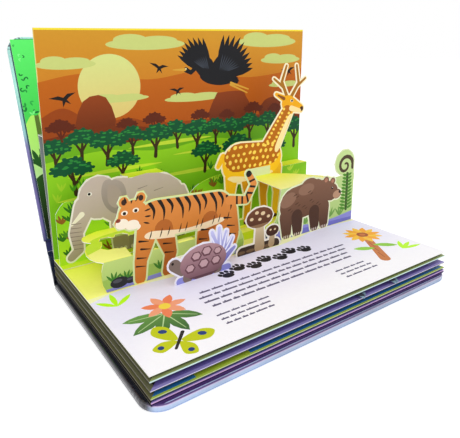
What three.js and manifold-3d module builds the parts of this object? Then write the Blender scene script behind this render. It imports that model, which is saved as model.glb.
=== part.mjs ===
// A pop-up book, open at a right-angled spread. Its back cover lies flat, the closed spreads lie on it,
// and one leaf stands up behind the folded, die-cut card layers that rise from the open spread.
// Millimetres, +X along the gutter, +Y to the back, +Z up. The origin is the centre of the back cover's
// underside. Inside the group "book" the gutter of the open spread is at y = 0.
import * as THREE from 'three';
import { mergeVertices } from 'three/addons/utils/BufferGeometryUtils.js';
import Module from 'manifold-3d';

const wasm = await Module();
wasm.setup();

// Leaves
const pageLength = 250;            // along the gutter
const pageWidth = 176;             // gutter to fore-edge
const leafThick = 0.8;             // two sheets of card glued back to back
const pastedown = 0.5;             // the last sheet, glued to the back cover
const lastGap = 1.6;               // from the pastedown to the top of the leaf above it
const spreadGaps = [2.2, 4.4, 5.5, 3.3];   // leaf top to leaf top, from the bottom up
const leafLean = 3.2;              // degrees that the standing leaf leans forward

// Case: two padded boards, a spine board, and the thin joints between them
const coverThick = 4.5;
const coverOverhang = 3;           // past the leaves, on three sides
const coverCorner = 13;
const coverEdge = 1.5;             // rounding of the padded edges
const wrapThick = 1.2;             // covering material, alone at the joints
const jointWidth = 9;              // from a hinge line to the board
const spineWidth = 26;
const spineThick = 3;
const hingeSetback = 3;            // spine's lower hinge line, behind the gutter
const hingeGap = 0.3;              // clearance round each hinge line
const spineChamfer = 1.5;
const spineLean = 27;              // degrees back from upright, as the book stands open
const coverLean = 21;

// Pop-ups
const card = 0.5;                  // pop-up card
const seat = 0.3;                  // glue line under every tab
const margin = 1.4;                // unprinted rim left round a figure
const kerf = 0.8;                  // clearance of a figure in the window it was cut from
const backDepth = 16;              // gutter to the layer with the elephant
const deerDepth = 29;
const frontDepth = 78;
const tortoiseDepth = 97;
const toadstoolDepth = 84;
const tab = 8;                     // glue tab
const backStrip = 60.5;            // height of the strip over the elephant's back
const meadowStrip = 45.5;
const deerStrip = 44;
const frontStripLeft = 22;
const frontStripRight = 45;
const tortoiseStrip = 12;
const toadstoolStrip = 10;
const facets = 6;                  // most straight steps in a quarter of an arc

const halfLength = pageLength / 2;
const pageTop = coverThick + pastedown + lastGap + spreadGaps.reduce((sum, gap) => sum + gap, 0);
const coverDepth = pageWidth + coverOverhang + hingeSetback;   // hinge line to fore-edge
const coverHalf = halfLength + coverOverhang;
const floorOfPopUps = pageTop + seat;

const radians = THREE.MathUtils.degToRad;
const lean = radians(leafLean);
const shiftX = (x) => new THREE.Matrix4().makeTranslation(x, 0, 0);
const turnX = (angle) => new THREE.Matrix4().makeRotationX(angle);

// Solids

function solidOf(geometry) {
  geometry.deleteAttribute('normal');
  geometry.deleteAttribute('uv');
  const merged = mergeVertices(geometry, 1e-4);
  return new wasm.Manifold(new wasm.Mesh({
    numProp: 3,
    vertProperties: new Float32Array(merged.attributes.position.array),
    triVerts: new Uint32Array(merged.index.array),
  }));
}

function geometryOf(solid) {
  const { vertProperties, triVerts } = solid.getMesh();
  const geometry = new THREE.BufferGeometry();
  geometry.setAttribute('position', new THREE.BufferAttribute(vertProperties, 3));
  geometry.setIndex(new THREE.BufferAttribute(triVerts, 1));
  return geometry;
}

// One solid from several; faces that have become one flat face are remade as one.
const joined = (solids) => solidOf(geometryOf(solids.reduce((whole, solid) => whole.add(solid))));

function box(x0, x1, y0, y1, z0, z1) {
  const geometry = new THREE.BoxGeometry(x1 - x0, y1 - y0, z1 - z0);
  geometry.translate((x0 + x1) / 2, (y0 + y1) / 2, (z0 + z1) / 2);
  return solidOf(geometry);
}

// A flat outline given thickness along its own z.
function flat(shape, thick = card, curveSegments = facets) {
  return solidOf(new THREE.ExtrudeGeometry(shape, { depth: thick, bevelEnabled: false, curveSegments }));
}

const placed = (solid, matrix) => solidOf(geometryOf(solid).applyMatrix4(matrix));
const plate = (shape, thick, matrix) => placed(flat(shape, thick), matrix);

// Outlines

function outline(points) {
  return new THREE.Shape(points.map(([x, y]) => new THREE.Vector2(x, y)));
}

const rectangle = (x0, x1, y0, y1) => outline([[x0, y0], [x1, y0], [x1, y1], [x0, y1]]);

const stepsFor = (radius) => THREE.MathUtils.clamp(Math.round(Math.sqrt(2 * radius)), 2, facets);

// A figure is a list of ovals and tapered limbs; grow widens each one by the rim or the kerf.
const oval = (x, h, rx, rh) => (grow) => {
  const shape = new THREE.Shape();
  shape.absellipse(x, h, rx + grow, rh + grow, 0, 2 * Math.PI, false, 0);
  return flat(shape, card, stepsFor(rx));
};

const limb = (x1, h1, r1, x2, h2, r2) => (grow) => {
  const start = r1 + grow;
  const end = r2 + grow;
  const along = Math.atan2(h2 - h1, x2 - x1);
  const spread = Math.acos((start - end) / Math.hypot(x2 - x1, h2 - h1));
  const shape = new THREE.Shape();
  shape.absarc(x1, h1, start, along + spread, along - spread + 2 * Math.PI, false);
  shape.absarc(x2, h2, end, along - spread, along + spread, false);
  return flat(shape, card, stepsFor(start));
};

// Figures, in distance along the gutter and height on their own card

const elephant = [
  oval(-52, 37, 34, 25),
  oval(-92, 49, 15.5, 17),
  limb(-76, 44, 18, -60, 38, 20),
  limb(-103, 44, 8, -111, 24, 5),
  limb(-111, 24, 5, -110, 10, 3.6),
  limb(-110, 10, 3.6, -116, 5, 3),
  ...[-76, -63, -38, -25].map((x) => limb(x, 26, 8, x, 2, 6.5)),
  limb(-20, 44, 2.5, -12, 26, 1.6),
];

const deer = [
  limb(30, 60, 18, 62, 60, 15.5),
  limb(62, 66, 11, 84, 102, 6.5),
  limb(84, 109, 7.5, 99, 103, 3.8),
  limb(80, 113, 3, 70, 118, 1.6),
  limb(83, 114, 1.8, 76, 129, 1.5),
  limb(76, 129, 1.5, 81, 143, 1.1),
  limb(78, 124, 1.4, 67, 132, 1),
  limb(87, 114, 1.8, 96, 127, 1.5),
  limb(96, 127, 1.5, 93, 143, 1.1),
  limb(94, 124, 1.4, 104, 131, 1),
  limb(13, 68, 3, 8, 60, 2),
  ...[[22, 20], [38, 40], [59, 57], [71, 73]].flatMap(([hip, knee]) => [
    limb(hip, 50, 7, knee, 26, 3.6),
    limb(knee, 26, 3.6, hip, 3, 3),
  ]),
];

const tiger = [
  limb(-74, 44, 14, -24, 42, 13),
  oval(-90, 51, 10.5, 10.5),
  oval(-98, 47, 5, 4.5),
  oval(-96, 61, 3.4, 3.8),
  oval(-84, 62, 3.4, 3.8),
  limb(-80, 38, 8, -86, 16, 4.6),
  limb(-68, 36, 8, -63, 16, 4.6),
  limb(-30, 36, 10, -37, 18, 5),
  limb(-16, 38, 10, -9, 20, 5),
  ...[[-86, -87], [-63, -66], [-37, -33], [-9, -13]].map(([knee, paw]) => limb(knee, 17, 4.7, paw, 3, 4)),
  limb(-13, 46, 3.6, 3, 43, 3),
  limb(3, 43, 3, 10, 55, 2.8),
  limb(10, 55, 2.8, 5, 64, 2.6),
];

const bear = [
  limb(52, 29, 15, 76, 32, 15.5),
  oval(70, 38, 12, 11.5),
  limb(86, 36, 9.5, 96, 32, 8),
  oval(103, 29, 5.5, 4.5),
  oval(89, 44, 3.4, 3.4),
  oval(97, 42, 3.2, 3.2),
  ...[44, 56, 76, 87].map((x) => limb(x, 20, 7, x + 1, 4, 5)),
];

const tortoise = [
  oval(-47, 12, 19, 13),
  limb(-64, 9, 3.6, -70, 15, 4.4),
  limb(-58, 7, 4.5, -60, 3, 4),
  limb(-37, 7, 4.5, -36, 3, 4),
];
const grassTips = [[-40, 32], [-34, 34], [-28, 30], [-23, 24], [-21, 16]];
const tuft = grassTips.map(([x, h]) => limb(-33, 8, 3.6, x, h, 1.2));

const toadstools = [
  limb(12, 3, 5, 12, 25, 3.6),
  oval(12, 28, 13, 8.5),
  limb(24, 3, 3.2, 25, 12, 2.4),
  oval(25, 14, 6.5, 4.6),
];

// Sheets of card

// From (distance along the gutter, height) to a card that leans with the standing leaf; the card's
// back face is at the given depth in front of the gutter.
const standing = (depth) => new THREE.Matrix4()
  .makeTranslation(0, -depth, floorOfPopUps)
  .multiply(turnX(lean))
  .multiply(turnX(Math.PI / 2));

// Where a card at this depth stands, at this height.
const leanY = (depth, height) => -depth - height * Math.sin(lean);
const leanZ = (height) => floorOfPopUps + height * Math.cos(lean);

const printed = (parts) => parts.map((part) => part(margin));

// A standing card from its flat parts, trimmed along the page.
function standingCard(parts, depth) {
  const abovePage = box(-halfLength, halfLength, 0, pageWidth, -card, 2 * card);
  return placed(joined([joined(parts).intersect(abovePage)]), standing(depth));
}

// A tab glued to the page, from one depth to another.
const pageTab = (x0, x1, near, far) => box(x0, x1, -far, -near, floorOfPopUps, floorOfPopUps + card);

// A tab glued to an upright card or leaf, from one height to another.
const cardTab = (x0, x1, low, high, depth) => plate(rectangle(x0, x1, low, high), card, standing(depth));

// A level strip whose plan is drawn in x and depth.
function levelStrip(plan, height) {
  return plate(plan, card, new THREE.Matrix4().makeTranslation(0, 0, leanZ(height) - card));
}

// The plan of a level strip between two depths.
function stripPlan(x0, x1, height, near, far) {
  return rectangle(x0, x1, leanY(far, height), leanY(near, height));
}

// The window that a figure leaves in the strip it was cut from: its outline above the fold, laid back.
function figureWindow(parts, height, depth) {
  const laidBack = new THREE.Matrix4()
    .makeTranslation(0, leanY(depth, height) - height, leanZ(height) - 2 * card)
    .scale(new THREE.Vector3(1, 1, 3));
  return placed(joined(parts.map((part) => part(margin + kerf))), laidBack);
}

// The case

// A section drawn in (y, z) and run along x.
const alongX = new THREE.Matrix4().makeBasis(
  new THREE.Vector3(0, 1, 0),
  new THREE.Vector3(0, 0, 1),
  new THREE.Vector3(1, 0, 0),
);

// A board with its thin joint: the hinge line is y = 0 at half the covering's thickness, the outer
// face is down, and the board runs to +y.
function coverBoard() {
  const back = jointWidth + coverEdge;
  const front = coverDepth - coverEdge;
  const side = coverHalf - coverEdge;
  const round = coverCorner - coverEdge;
  const shape = new THREE.Shape();
  shape.moveTo(-side, back);
  shape.lineTo(side, back);
  shape.lineTo(side, front - round);
  shape.absarc(side - round, front - round, round, 0, Math.PI / 2, false);
  shape.absarc(round - side, front - round, round, Math.PI / 2, Math.PI, false);
  shape.lineTo(-side, back);
  const geometry = new THREE.ExtrudeGeometry(shape, {
    depth: coverThick - 2 * coverEdge,
    bevelThickness: coverEdge,
    bevelSize: coverEdge,
    bevelSegments: 4,
    curveSegments: facets,
  });
  geometry.translate(0, 0, coverEdge - wrapThick / 2);
  const skin = wrapThick / 2;
  const socket = skin + hingeGap;
  const lip = Math.asin(skin / socket);
  const joint = new THREE.Shape();
  joint.moveTo(back, -skin);
  joint.lineTo(back, skin);
  joint.lineTo(socket * Math.cos(lip), skin);
  joint.absarc(0, 0, socket, lip, -lip, true);
  joint.lineTo(back, -skin);
  return solidOf(geometry).add(plate(joint, 2 * side, shiftX(-side).multiply(alongX)));
}

// The spine board, from hinge line to hinge line.
function spineBoard() {
  const side = coverHalf - coverEdge;
  const skin = wrapThick / 2;
  const section = new THREE.Shape();
  section.moveTo(0, -skin);
  section.lineTo(spineWidth, -skin);
  section.absarc(spineWidth, 0, skin, -Math.PI / 2, Math.PI / 2, false);
  section.lineTo(spineWidth - spineChamfer, skin);
  section.lineTo(spineWidth - 2 * spineChamfer, spineThick - skin);
  section.lineTo(2 * spineChamfer, spineThick - skin);
  section.lineTo(spineChamfer, skin);
  section.lineTo(0, skin);
  section.absarc(0, 0, skin, Math.PI / 2, 1.5 * Math.PI, false);
  return plate(section, 2 * side, shiftX(-side).multiply(alongX));
}

// The leaves

// The fold of one closed spread at the gutter, from one leaf's lower sheet round to the next one's upper.
function gutterFold(upperTop, lowerTop) {
  const sheet = leafThick / 2;
  const radius = (upperTop - lowerTop) / 2;
  const middle = (upperTop + lowerTop) / 2 - sheet;
  const legs = 2;
  const shape = new THREE.Shape();
  shape.moveTo(-legs, middle - radius);
  shape.absarc(0, middle, radius, -Math.PI / 2, Math.PI / 2, false);
  shape.lineTo(-legs, middle + radius);
  shape.lineTo(-legs, middle + radius - sheet);
  shape.absarc(0, middle, radius - sheet, Math.PI / 2, -Math.PI / 2, true);
  shape.lineTo(-legs, middle - radius + sheet);
  return plate(shape, pageLength, shiftX(-halfLength).multiply(alongX));
}

// Closed spreads on the back cover, the open spread's lower leaf on top of them, and the standing leaf.
function pages() {
  const leaf = (top, thick, back) => box(-halfLength, halfLength, -pageWidth, back, top - thick, top);
  const tops = [coverThick + pastedown + lastGap];
  spreadGaps.forEach((gap) => tops.push(tops.at(-1) + gap));
  const solids = [leaf(coverThick + pastedown, pastedown, 0)];
  const stacks = [];
  let below = coverThick + pastedown;
  tops.forEach((top, index) => {
    solids.push(leaf(top, leafThick, 0));
    if (index > 0) {
      solids.push(gutterFold(top, tops[index - 1]));
    }
    // The closed spread's own pop-ups, folded flat, keep its two leaves apart.
    const inset = 16 + 5 * (index % 2);
    stacks.push(box(
      inset - halfLength, halfLength - inset,
      inset - pageWidth, -inset / 2,
      below - pastedown / 2, top - leafThick / 2,
    ));
    below = top;
  });
  const upright = plate(
    rectangle(-halfLength, halfLength, -seat - leafThick, pageWidth),
    leafThick,
    standing(-leafThick),
  );
  const foot = box(-halfLength, halfLength, -leafThick, leafThick, pageTop - leafThick, pageTop);
  return joined([...solids, ...stacks, foot, upright]);
}

// Pop-up layers

const glued = card + seat;

function backLayer() {
  const end = halfLength - 3;
  const meadow = new THREE.Shape();
  meadow.moveTo(-halfLength, 0);
  meadow.lineTo(-halfLength, 42);
  meadow.splineThru([[-118, 50], [-108, 47], [-96, 34], [-66, 28], [-22, 33], [-4, 44], [20, 49], [46, 44], [70, 46]]
    .map(([x, h]) => new THREE.Vector2(x, h)));
  meadow.lineTo(82, meadowStrip);
  meadow.lineTo(end, meadowStrip);
  meadow.lineTo(end, 0);
  const foldOver = [-68, -36];
  const aboveFold = box(...foldOver, backStrip, pageWidth, -card, 2 * card);
  const face = standingCard([joined([flat(meadow), ...printed(elephant)]).subtract(aboveFold)], backDepth);
  const strips = [[...foldOver, backStrip], [88, end, meadowStrip]].flatMap(([x0, x1, height]) => [
    levelStrip(stripPlan(x0, x1, height, seat, backDepth + card), height),
    cardTab(x0, x1, height - tab, height, seat),
  ]);
  const foot = pageTab(-halfLength, end, backDepth, backDepth + card + tab);
  return joined([face, ...strips, foot]);
}

function deerLayer() {
  const brace = [28, 50];
  const foot = [14, 82];
  const ground = limb(foot[0] + 4, 2, 4, foot[1] - 4, 2, 4);
  const near = backDepth + glued;
  return joined([
    standingCard(printed([...deer, ground]), deerDepth),
    levelStrip(stripPlan(...brace, deerStrip, near, deerDepth + card), deerStrip),
    cardTab(...brace, deerStrip - tab, deerStrip, near),
    pageTab(...foot, deerDepth, deerDepth + tab),
  ]);
}

function frontLayerLeft() {
  const left = -112;
  const right = -4;
  const height = frontStripLeft;
  const panel = new THREE.Shape();
  panel.moveTo(left + 1, 0);
  panel.bezierCurveTo(left - 3, 8, left - 2, 18, left, height);
  panel.lineTo(right, height);
  panel.bezierCurveTo(right + 6, 14, right + 6, 6, right + 3, 0);
  const near = backDepth + glued;
  const fold = leanY(frontDepth + card, height);
  const back = leanY(near, height);
  const plan = new THREE.Shape();
  plan.moveTo(left, fold);
  plan.lineTo(right, fold);
  plan.lineTo(right, back);
  plan.lineTo(left + 16, back);
  plan.bezierCurveTo(left - 2, back - 6, left - 2, back - 16, left + 5, back - 22);
  plan.bezierCurveTo(left - 8, back - 30, left - 8, fold + 6, left, fold);
  const strip = levelStrip(plan, height).subtract(figureWindow(tiger, height, frontDepth));
  return joined([
    standingCard([flat(panel), ...printed(tiger)], frontDepth),
    strip,
    cardTab(left + 16, right, height - tab, height, near),
    pageTab(left + 4, right, frontDepth - tab, frontDepth + card),
  ]);
}

function frontLayerRight() {
  const left = 38;
  const right = halfLength - 1;
  const height = frontStripRight;
  const tower = right - 24;
  const panel = new THREE.Shape();
  panel.moveTo(16, 0);
  panel.splineThru([[21, 9], [29, 14], [35, 24], [left, height]].map(([x, h]) => new THREE.Vector2(x, h)));
  panel.lineTo(tower, height);
  panel.lineTo(right, height);
  panel.lineTo(right, 0);
  const frond = [oval(right - 13, 57, 11.5, 11.5), limb(right - 8, 40, 7, right - 8, 58, 6.5)];
  const near = deerDepth + glued;
  const fold = leanY(frontDepth + card, height);
  const back = leanY(near, height);
  const hold = [left + 4, left + 26];
  const plan = new THREE.Shape();
  plan.moveTo(left, fold);
  plan.lineTo(tower, fold);
  plan.bezierCurveTo(tower - 4, fold + 16, hold[1] + 12, back - 10, hold[1], back);
  plan.lineTo(hold[0], back);
  plan.lineTo(left, fold);
  const strip = levelStrip(plan, height).subtract(figureWindow(bear, height, frontDepth));
  return joined([
    standingCard([flat(panel), ...printed([...bear, ...frond])], frontDepth),
    strip,
    cardTab(...hold, height - card, height + tab, near),
    pageTab(left - 10, right, frontDepth - tab, frontDepth + card),
  ]);
}

function tortoisePiece() {
  const brace = [-60, -48];
  const near = frontDepth + glued;
  const ground = limb(-66, 1.5, 3, -27, 1.5, 3);
  return joined([
    standingCard(printed([...tortoise, ...tuft, ground]), tortoiseDepth),
    levelStrip(stripPlan(...brace, tortoiseStrip, near, tortoiseDepth + card), tortoiseStrip),
    cardTab(...brace, tortoiseStrip - tab, tortoiseStrip, near),
    pageTab(-64, -30, tortoiseDepth - tab, tortoiseDepth + card),
  ]);
}

function toadstoolPiece() {
  const brace = [25, 30];
  const near = frontDepth + glued;
  const ground = limb(-5, 2, 4.5, 28, 2, 4.5);
  return joined([
    standingCard(printed([...toadstools, ground]), toadstoolDepth),
    levelStrip(stripPlan(...brace, toadstoolStrip, near, toadstoolDepth + card), toadstoolStrip),
    cardTab(...brace, toadstoolStrip - tab / 2, toadstoolStrip, near),
    pageTab(-2, 22, near, toadstoolDepth + card),
  ]);
}

// The first spread's pop-up, folded nearly flat between the standing leaf and the front cover.
function forestLayer() {
  const left = 1 - halfLength;
  const right = 60;
  const foot = leafThick + 5;          // behind the gutter
  const height = 98;
  const low = 4;
  const layerLean = radians(-4);
  const tilted = new THREE.Matrix4()
    .makeTranslation(0, foot + card, floorOfPopUps)
    .multiply(turnX(layerLean))
    .multiply(turnX(Math.PI / 2));
  const canopy = new THREE.Shape();
  canopy.moveTo(left, low);
  canopy.lineTo(right, low);
  canopy.lineTo(right, 60);
  canopy.splineThru([[44, 78], [22, 74], [0, 88], [-24, 84], [-50, height], [-80, height]]
    .map(([x, h]) => new THREE.Vector2(x, h)));
  canopy.lineTo(left, height);
  const topY = foot + card + height * Math.sin(-layerLean);
  const topZ = floorOfPopUps + height * Math.cos(layerLean);
  const bottomY = foot + card;
  const leafBack = (z) => leafThick + seat - (z - floorOfPopUps) * Math.tan(lean);
  const glueTab = (x0, x1, bottom, top) => plate(rectangle(x0, x1, bottom, top), card, standing(-leafThick - seat - card));
  const hood = [left, left + 46];
  const bridge = (x0, x1, y1, z) => box(x0, x1, leafBack(z), y1, z - card, z);
  return joined([
    plate(canopy, card, tilted),
    bridge(...hood, topY, topZ - 0.2),
    glueTab(...hood, height - tab, height),
    bridge(left, right, bottomY + 0.2, floorOfPopUps + low + card),
    glueTab(left, right, low, low + tab),
  ]);
}

// The book

const book = new THREE.Group();
book.position.y = (pageWidth + coverOverhang - hingeSetback + jointWidth) / 2;

function part(name, solid, colour, roughness, parent) {
  const geometry = geometryOf(solid);
  geometry.computeVertexNormals();
  const mesh = new THREE.Mesh(
    geometry,
    new THREE.MeshStandardMaterial({ color: colour, roughness, metalness: 0 }),
  );
  mesh.name = name;
  parent.add(mesh);
}

// Frames of the case: each hinge line is a group's origin.
const lowerHinge = new THREE.Group();
lowerHinge.position.set(0, hingeSetback, wrapThick / 2);
book.add(lowerHinge);
const backFrame = new THREE.Group();
backFrame.rotation.z = Math.PI;
const spineFrame = new THREE.Group();
spineFrame.rotation.x = radians(90 - spineLean);
lowerHinge.add(backFrame, spineFrame);
const frontFrame = new THREE.Group();
frontFrame.position.y = spineWidth;
frontFrame.rotation.x = radians(spineLean - coverLean);
spineFrame.add(frontFrame);

const cover = coverBoard();
part('back_cover', cover, 0x2a2c34, 0.35, backFrame);
part('spine', spineBoard(), 0x10131c, 0.4, spineFrame);
part('front_cover', cover, 0x9fd8d0, 0.35, frontFrame);

const innerFace = coverThick - wrapThick / 2;
const frontSheet = box(
  -halfLength, halfLength,
  jointWidth + coverEdge, coverDepth - coverOverhang,
  innerFace + seat, innerFace + seat + pastedown,
);
part('front_pastedown', frontSheet, 0x5fe06a, 0.5, frontFrame);

part('pages', pages(), 0xf4f2f6, 0.5, book);
part('forest_layer', forestLayer(), 0x6fae4a, 0.5, book);
part('back_layer', backLayer(), 0xa59a98, 0.5, book);
part('deer_layer', deerLayer(), 0xf2b51c, 0.5, book);
part('front_layer_left', frontLayerLeft(), 0xd9803c, 0.5, book);
part('front_layer_right', frontLayerRight(), 0x7a5643, 0.5, book);
part('tortoise', tortoisePiece(), 0xa07a80, 0.5, book);
part('toadstools', toadstoolPiece(), 0x4b3328, 0.5, book);

const popUpBook = new THREE.Group();
popUpBook.add(book);

export default popUpBook;
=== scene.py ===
import math
import random

import bmesh
import bpy
from bpy.props import FloatProperty, FloatVectorProperty, PointerProperty
from bpy.types import Operator, Panel, PropertyGroup
from mathutils import Matrix, Vector
from mathutils.geometry import delaunay_2d_cdt


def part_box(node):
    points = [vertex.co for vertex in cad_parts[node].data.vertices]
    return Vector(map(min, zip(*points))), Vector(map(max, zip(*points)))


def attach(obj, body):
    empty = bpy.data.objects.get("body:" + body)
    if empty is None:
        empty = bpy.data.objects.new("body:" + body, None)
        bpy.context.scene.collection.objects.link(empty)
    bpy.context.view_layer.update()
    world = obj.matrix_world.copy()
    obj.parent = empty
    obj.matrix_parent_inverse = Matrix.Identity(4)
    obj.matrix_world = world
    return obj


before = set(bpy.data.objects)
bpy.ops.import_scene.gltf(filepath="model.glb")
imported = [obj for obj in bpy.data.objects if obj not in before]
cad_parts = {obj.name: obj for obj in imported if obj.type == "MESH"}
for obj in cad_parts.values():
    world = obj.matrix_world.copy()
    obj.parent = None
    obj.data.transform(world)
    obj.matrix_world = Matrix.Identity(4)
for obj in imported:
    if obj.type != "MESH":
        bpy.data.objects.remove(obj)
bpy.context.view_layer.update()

bl_info = {
    "name": "Pop-up Book",
    "version": (1, 0, 0),
    "blender": (4, 5, 0),
    "location": "3D View > Sidebar > Pop-up Book",
    "description": "Prints, films and stage for an open pop-up picture book",
    "category": "Object",
}

# Sizes of the book's solids, in millimetres along the sheets
MM = 0.001
PAGE_HALF = 125.0
PAGE_WIDTH = 176.0
LEAF = 0.8
CARD = 0.5
SEAT = 0.3
LEAN = math.radians(3.2)
COVER_LEAN = math.radians(21)
SPINE_WIDTH = 26.0
SPINE_LEAN = math.radians(27)
HINGE_SETBACK = 3.0
SKIN = 0.6
MARGIN = 1.4
WINDOW_CLEARANCE = 0.8
PASTEDOWN_FACE = 4.7
INK_FILM = 0.04
TIP_CARD = 0.2
TIP_INSET = 2.6
TIP_HEIGHT = 17.5
FOREST_GAP = 5.0
FOREST_LEAN = math.radians(4)
BACK, DEER, FRONT, TORTOISE, TOADSTOOL = 16.0, 29.0, 78.0, 97.0, 84.0

GUTTER_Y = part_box("pages")[0][1] / MM + PAGE_WIDTH
PAGE_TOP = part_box("back_layer")[0][2] / MM - SEAT
FLOOR_Z = PAGE_TOP + SEAT

# Camera, measured from the gutter's middle on the page, in millimetres and degrees
CAMERA_PLACE = (-207.8, -382.0, 156.6)
CAMERA_TURN = (35.13, 11.78, -1.314)
CAMERA_SHIFT = (-0.0357, -0.1418)

PRINT_FINISH = "printed satin card"
WHITE = (1, 1, 1, 1)


# Colours

def ink(code):
    """Linear colour from a web colour code."""
    channels = [int(code[i:i + 2], 16) / 255 for i in (1, 3, 5)]
    return tuple(c / 12.92 if c <= 0.04045 else ((c + 0.055) / 1.055) ** 2.4 for c in channels)


def blend(a, b, share):
    share = min(1.0, max(0.0, share))
    return tuple(x + (y - x) * share for x, y in zip(a, b))


def fade(low, high, start, end, axis=1):
    """Ink that turns from one colour to another between two places on the sheet."""
    first, last = ink(low), ink(high)
    return lambda p: blend(first, last, (p[axis] - start) / (end - start))


def plain(code):
    colour = ink(code)
    return lambda p: colour


# Outlines of printed shapes: lists of points on the sheet, in millimetres

def oval(x, y, rx, ry, turn=0.0, grow=0.0, steps=20):
    c, s = math.cos(math.radians(turn)), math.sin(math.radians(turn))
    outline = []
    for i in range(steps):
        a = 2 * math.pi * i / steps
        u, v = (rx + grow) * math.cos(a), (ry + grow) * math.sin(a)
        outline.append((x + u * c - v * s, y + u * s + v * c))
    return outline


def limb(x1, y1, r1, x2, y2, r2, grow=0.0, steps=8):
    """Two round ends of different sizes and the tapered body between them."""
    r1, r2 = r1 + grow, r2 + grow
    along = math.atan2(y2 - y1, x2 - x1)
    spread = math.acos((r1 - r2) / math.hypot(x2 - x1, y2 - y1))
    outline = []
    for i in range(steps + 1):
        a = along + spread + (2 * math.pi - 2 * spread) * i / steps
        outline.append((x1 + r1 * math.cos(a), y1 + r1 * math.sin(a)))
    for i in range(steps + 1):
        a = along - spread + 2 * spread * i / steps
        outline.append((x2 + r2 * math.cos(a), y2 + r2 * math.sin(a)))
    return outline


def smooth(points, closed=True, steps=6):
    """A rounded line through the points."""
    count = len(points)
    outline = []
    for i in range(count if closed else count - 1):
        if closed:
            a, b, c, d = (points[(i + k) % count] for k in (-1, 0, 1, 2))
        else:
            a, b, c, d = (points[min(count - 1, max(0, i + k))] for k in (-1, 0, 1, 2))
        for j in range(steps):
            t = j / steps
            outline.append(tuple(
                0.5 * (2 * q + (r - p) * t + (2 * p - 5 * q + 4 * r - s) * t * t
                       + (3 * q - p - 3 * r + s) * t ** 3)
                for p, q, r, s in zip(a, b, c, d)))
    if not closed:
        outline.append(points[-1])
    return outline


def ground(points, base=0.0, steps=6):
    """A field of colour under a rounded skyline."""
    line = smooth(points, closed=False, steps=steps)
    return line + [(line[-1][0], base), (line[0][0], base)]


def rectangle(x0, x1, y0, y1):
    return [(x0, y0), (x1, y0), (x1, y1), (x0, y1)]


def leaf(x, y, length, width, turn):
    """A pointed leaf that grows from x, y."""
    c, s = math.cos(math.radians(turn)), math.sin(math.radians(turn))
    half = [(t, width / 2 * math.sin(math.pi * t) ** 0.8) for t in (0, 0.15, 0.35, 0.6, 0.82, 1)]
    outline = half + [(t, -w) for t, w in reversed(half[1:-1])]
    return [(x + length * t * c - w * s, y + length * t * s + w * c) for t, w in outline]


def moved(outline, x, y, scale=1.0, turn=0.0, flip=1):
    c, s = math.cos(math.radians(turn)), math.sin(math.radians(turn))
    placed = [(x + scale * (flip * u * c - v * s), y + scale * (flip * u * s + v * c)) for u, v in outline]
    return placed if flip > 0 else placed[::-1]


# Figures that are cut out of card, as ovals and tapered limbs

def upright_legs(places, top, r1, low, r2, shift=0):
    return [(x, top, r1, x + shift, low, r2) for x in places]


ELEPHANT = [
    (-52, 37, 34, 25), (-92, 49, 15.5, 17), (-76, 44, 18, -60, 38, 20),
    (-103, 44, 8, -111, 24, 5), (-111, 24, 5, -110, 10, 3.6), (-110, 10, 3.6, -116, 5, 3),
    *upright_legs((-76, -63, -38, -25), 26, 8, 2, 6.5), (-20, 44, 2.5, -12, 26, 1.6),
]
STAG_COAT = [
    (30, 60, 18, 62, 60, 15.5), (62, 66, 11, 84, 102, 6.5), (84, 109, 7.5, 99, 103, 3.8),
    (80, 113, 3, 70, 118, 1.6), (13, 68, 3, 8, 60, 2),
]
STAG_LEGS = [
    part for hip, knee in ((22, 20), (38, 40), (59, 57), (71, 73))
    for part in ((hip, 50, 7, knee, 26, 3.6), (knee, 26, 3.6, hip, 3, 3))
]
ANTLERS = [
    (83, 114, 1.8, 76, 129, 1.5), (76, 129, 1.5, 81, 143, 1.1), (78, 124, 1.4, 67, 132, 1),
    (87, 114, 1.8, 96, 127, 1.5), (96, 127, 1.5, 93, 143, 1.1), (94, 124, 1.4, 104, 131, 1),
]
STAG_GROUND = [(18, 2, 4, 78, 2, 4)]
TIGER_TAIL = [(-13, 46, 3.6, 3, 43, 3), (3, 43, 3, 10, 55, 2.8), (10, 55, 2.8, 5, 64, 2.6)]
TIGER = [
    (-74, 44, 14, -24, 42, 13), (-90, 51, 10.5, 10.5), (-98, 47, 5, 4.5),
    (-96, 61, 3.4, 3.8), (-84, 62, 3.4, 3.8), (-80, 38, 8, -86, 16, 4.6),
    (-68, 36, 8, -63, 16, 4.6), (-30, 36, 10, -37, 18, 5), (-16, 38, 10, -9, 20, 5),
    *[(knee, 17, 4.7, paw, 3, 4) for knee, paw in ((-86, -87), (-63, -66), (-37, -33), (-9, -13))],
    *TIGER_TAIL,
]
BEAR = [
    (52, 29, 15, 76, 32, 15.5), (70, 38, 12, 11.5), (86, 36, 9.5, 96, 32, 8),
    (103, 29, 5.5, 4.5), (89, 44, 3.4, 3.4), (97, 42, 3.2, 3.2),
    *upright_legs((44, 56, 76, 87), 20, 7, 4, 5, shift=1),
]
FROND = [(111, 57, 11.5, 11.5), (116, 40, 7, 116, 58, 6.5)]
SHELL = [(-47, 12, 19, 13)]
TORTOISE_SKIN = [
    (-64, 9, 3.6, -70, 15, 4.4), (-58, 7, 4.5, -60, 3, 4), (-37, 7, 4.5, -36, 3, 4),
]
TUFT = [(-33, 8, 3.6, x, h, 1.2) for x, h in ((-40, 32), (-34, 34), (-28, 30), (-23, 24), (-21, 16))]
TORTOISE_GROUND = [(-66, 1.5, 3, -27, 1.5, 3)]
CAPS = [(12, 28, 13, 8.5), (25, 14, 6.5, 4.6)]
STALKS = [(12, 3, 5, 12, 25, 3.6), (24, 3, 3.2, 25, 12, 2.4)]
TOADSTOOL_GROUND = [(-5, 2, 4.5, 28, 2, 4.5)]


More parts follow.
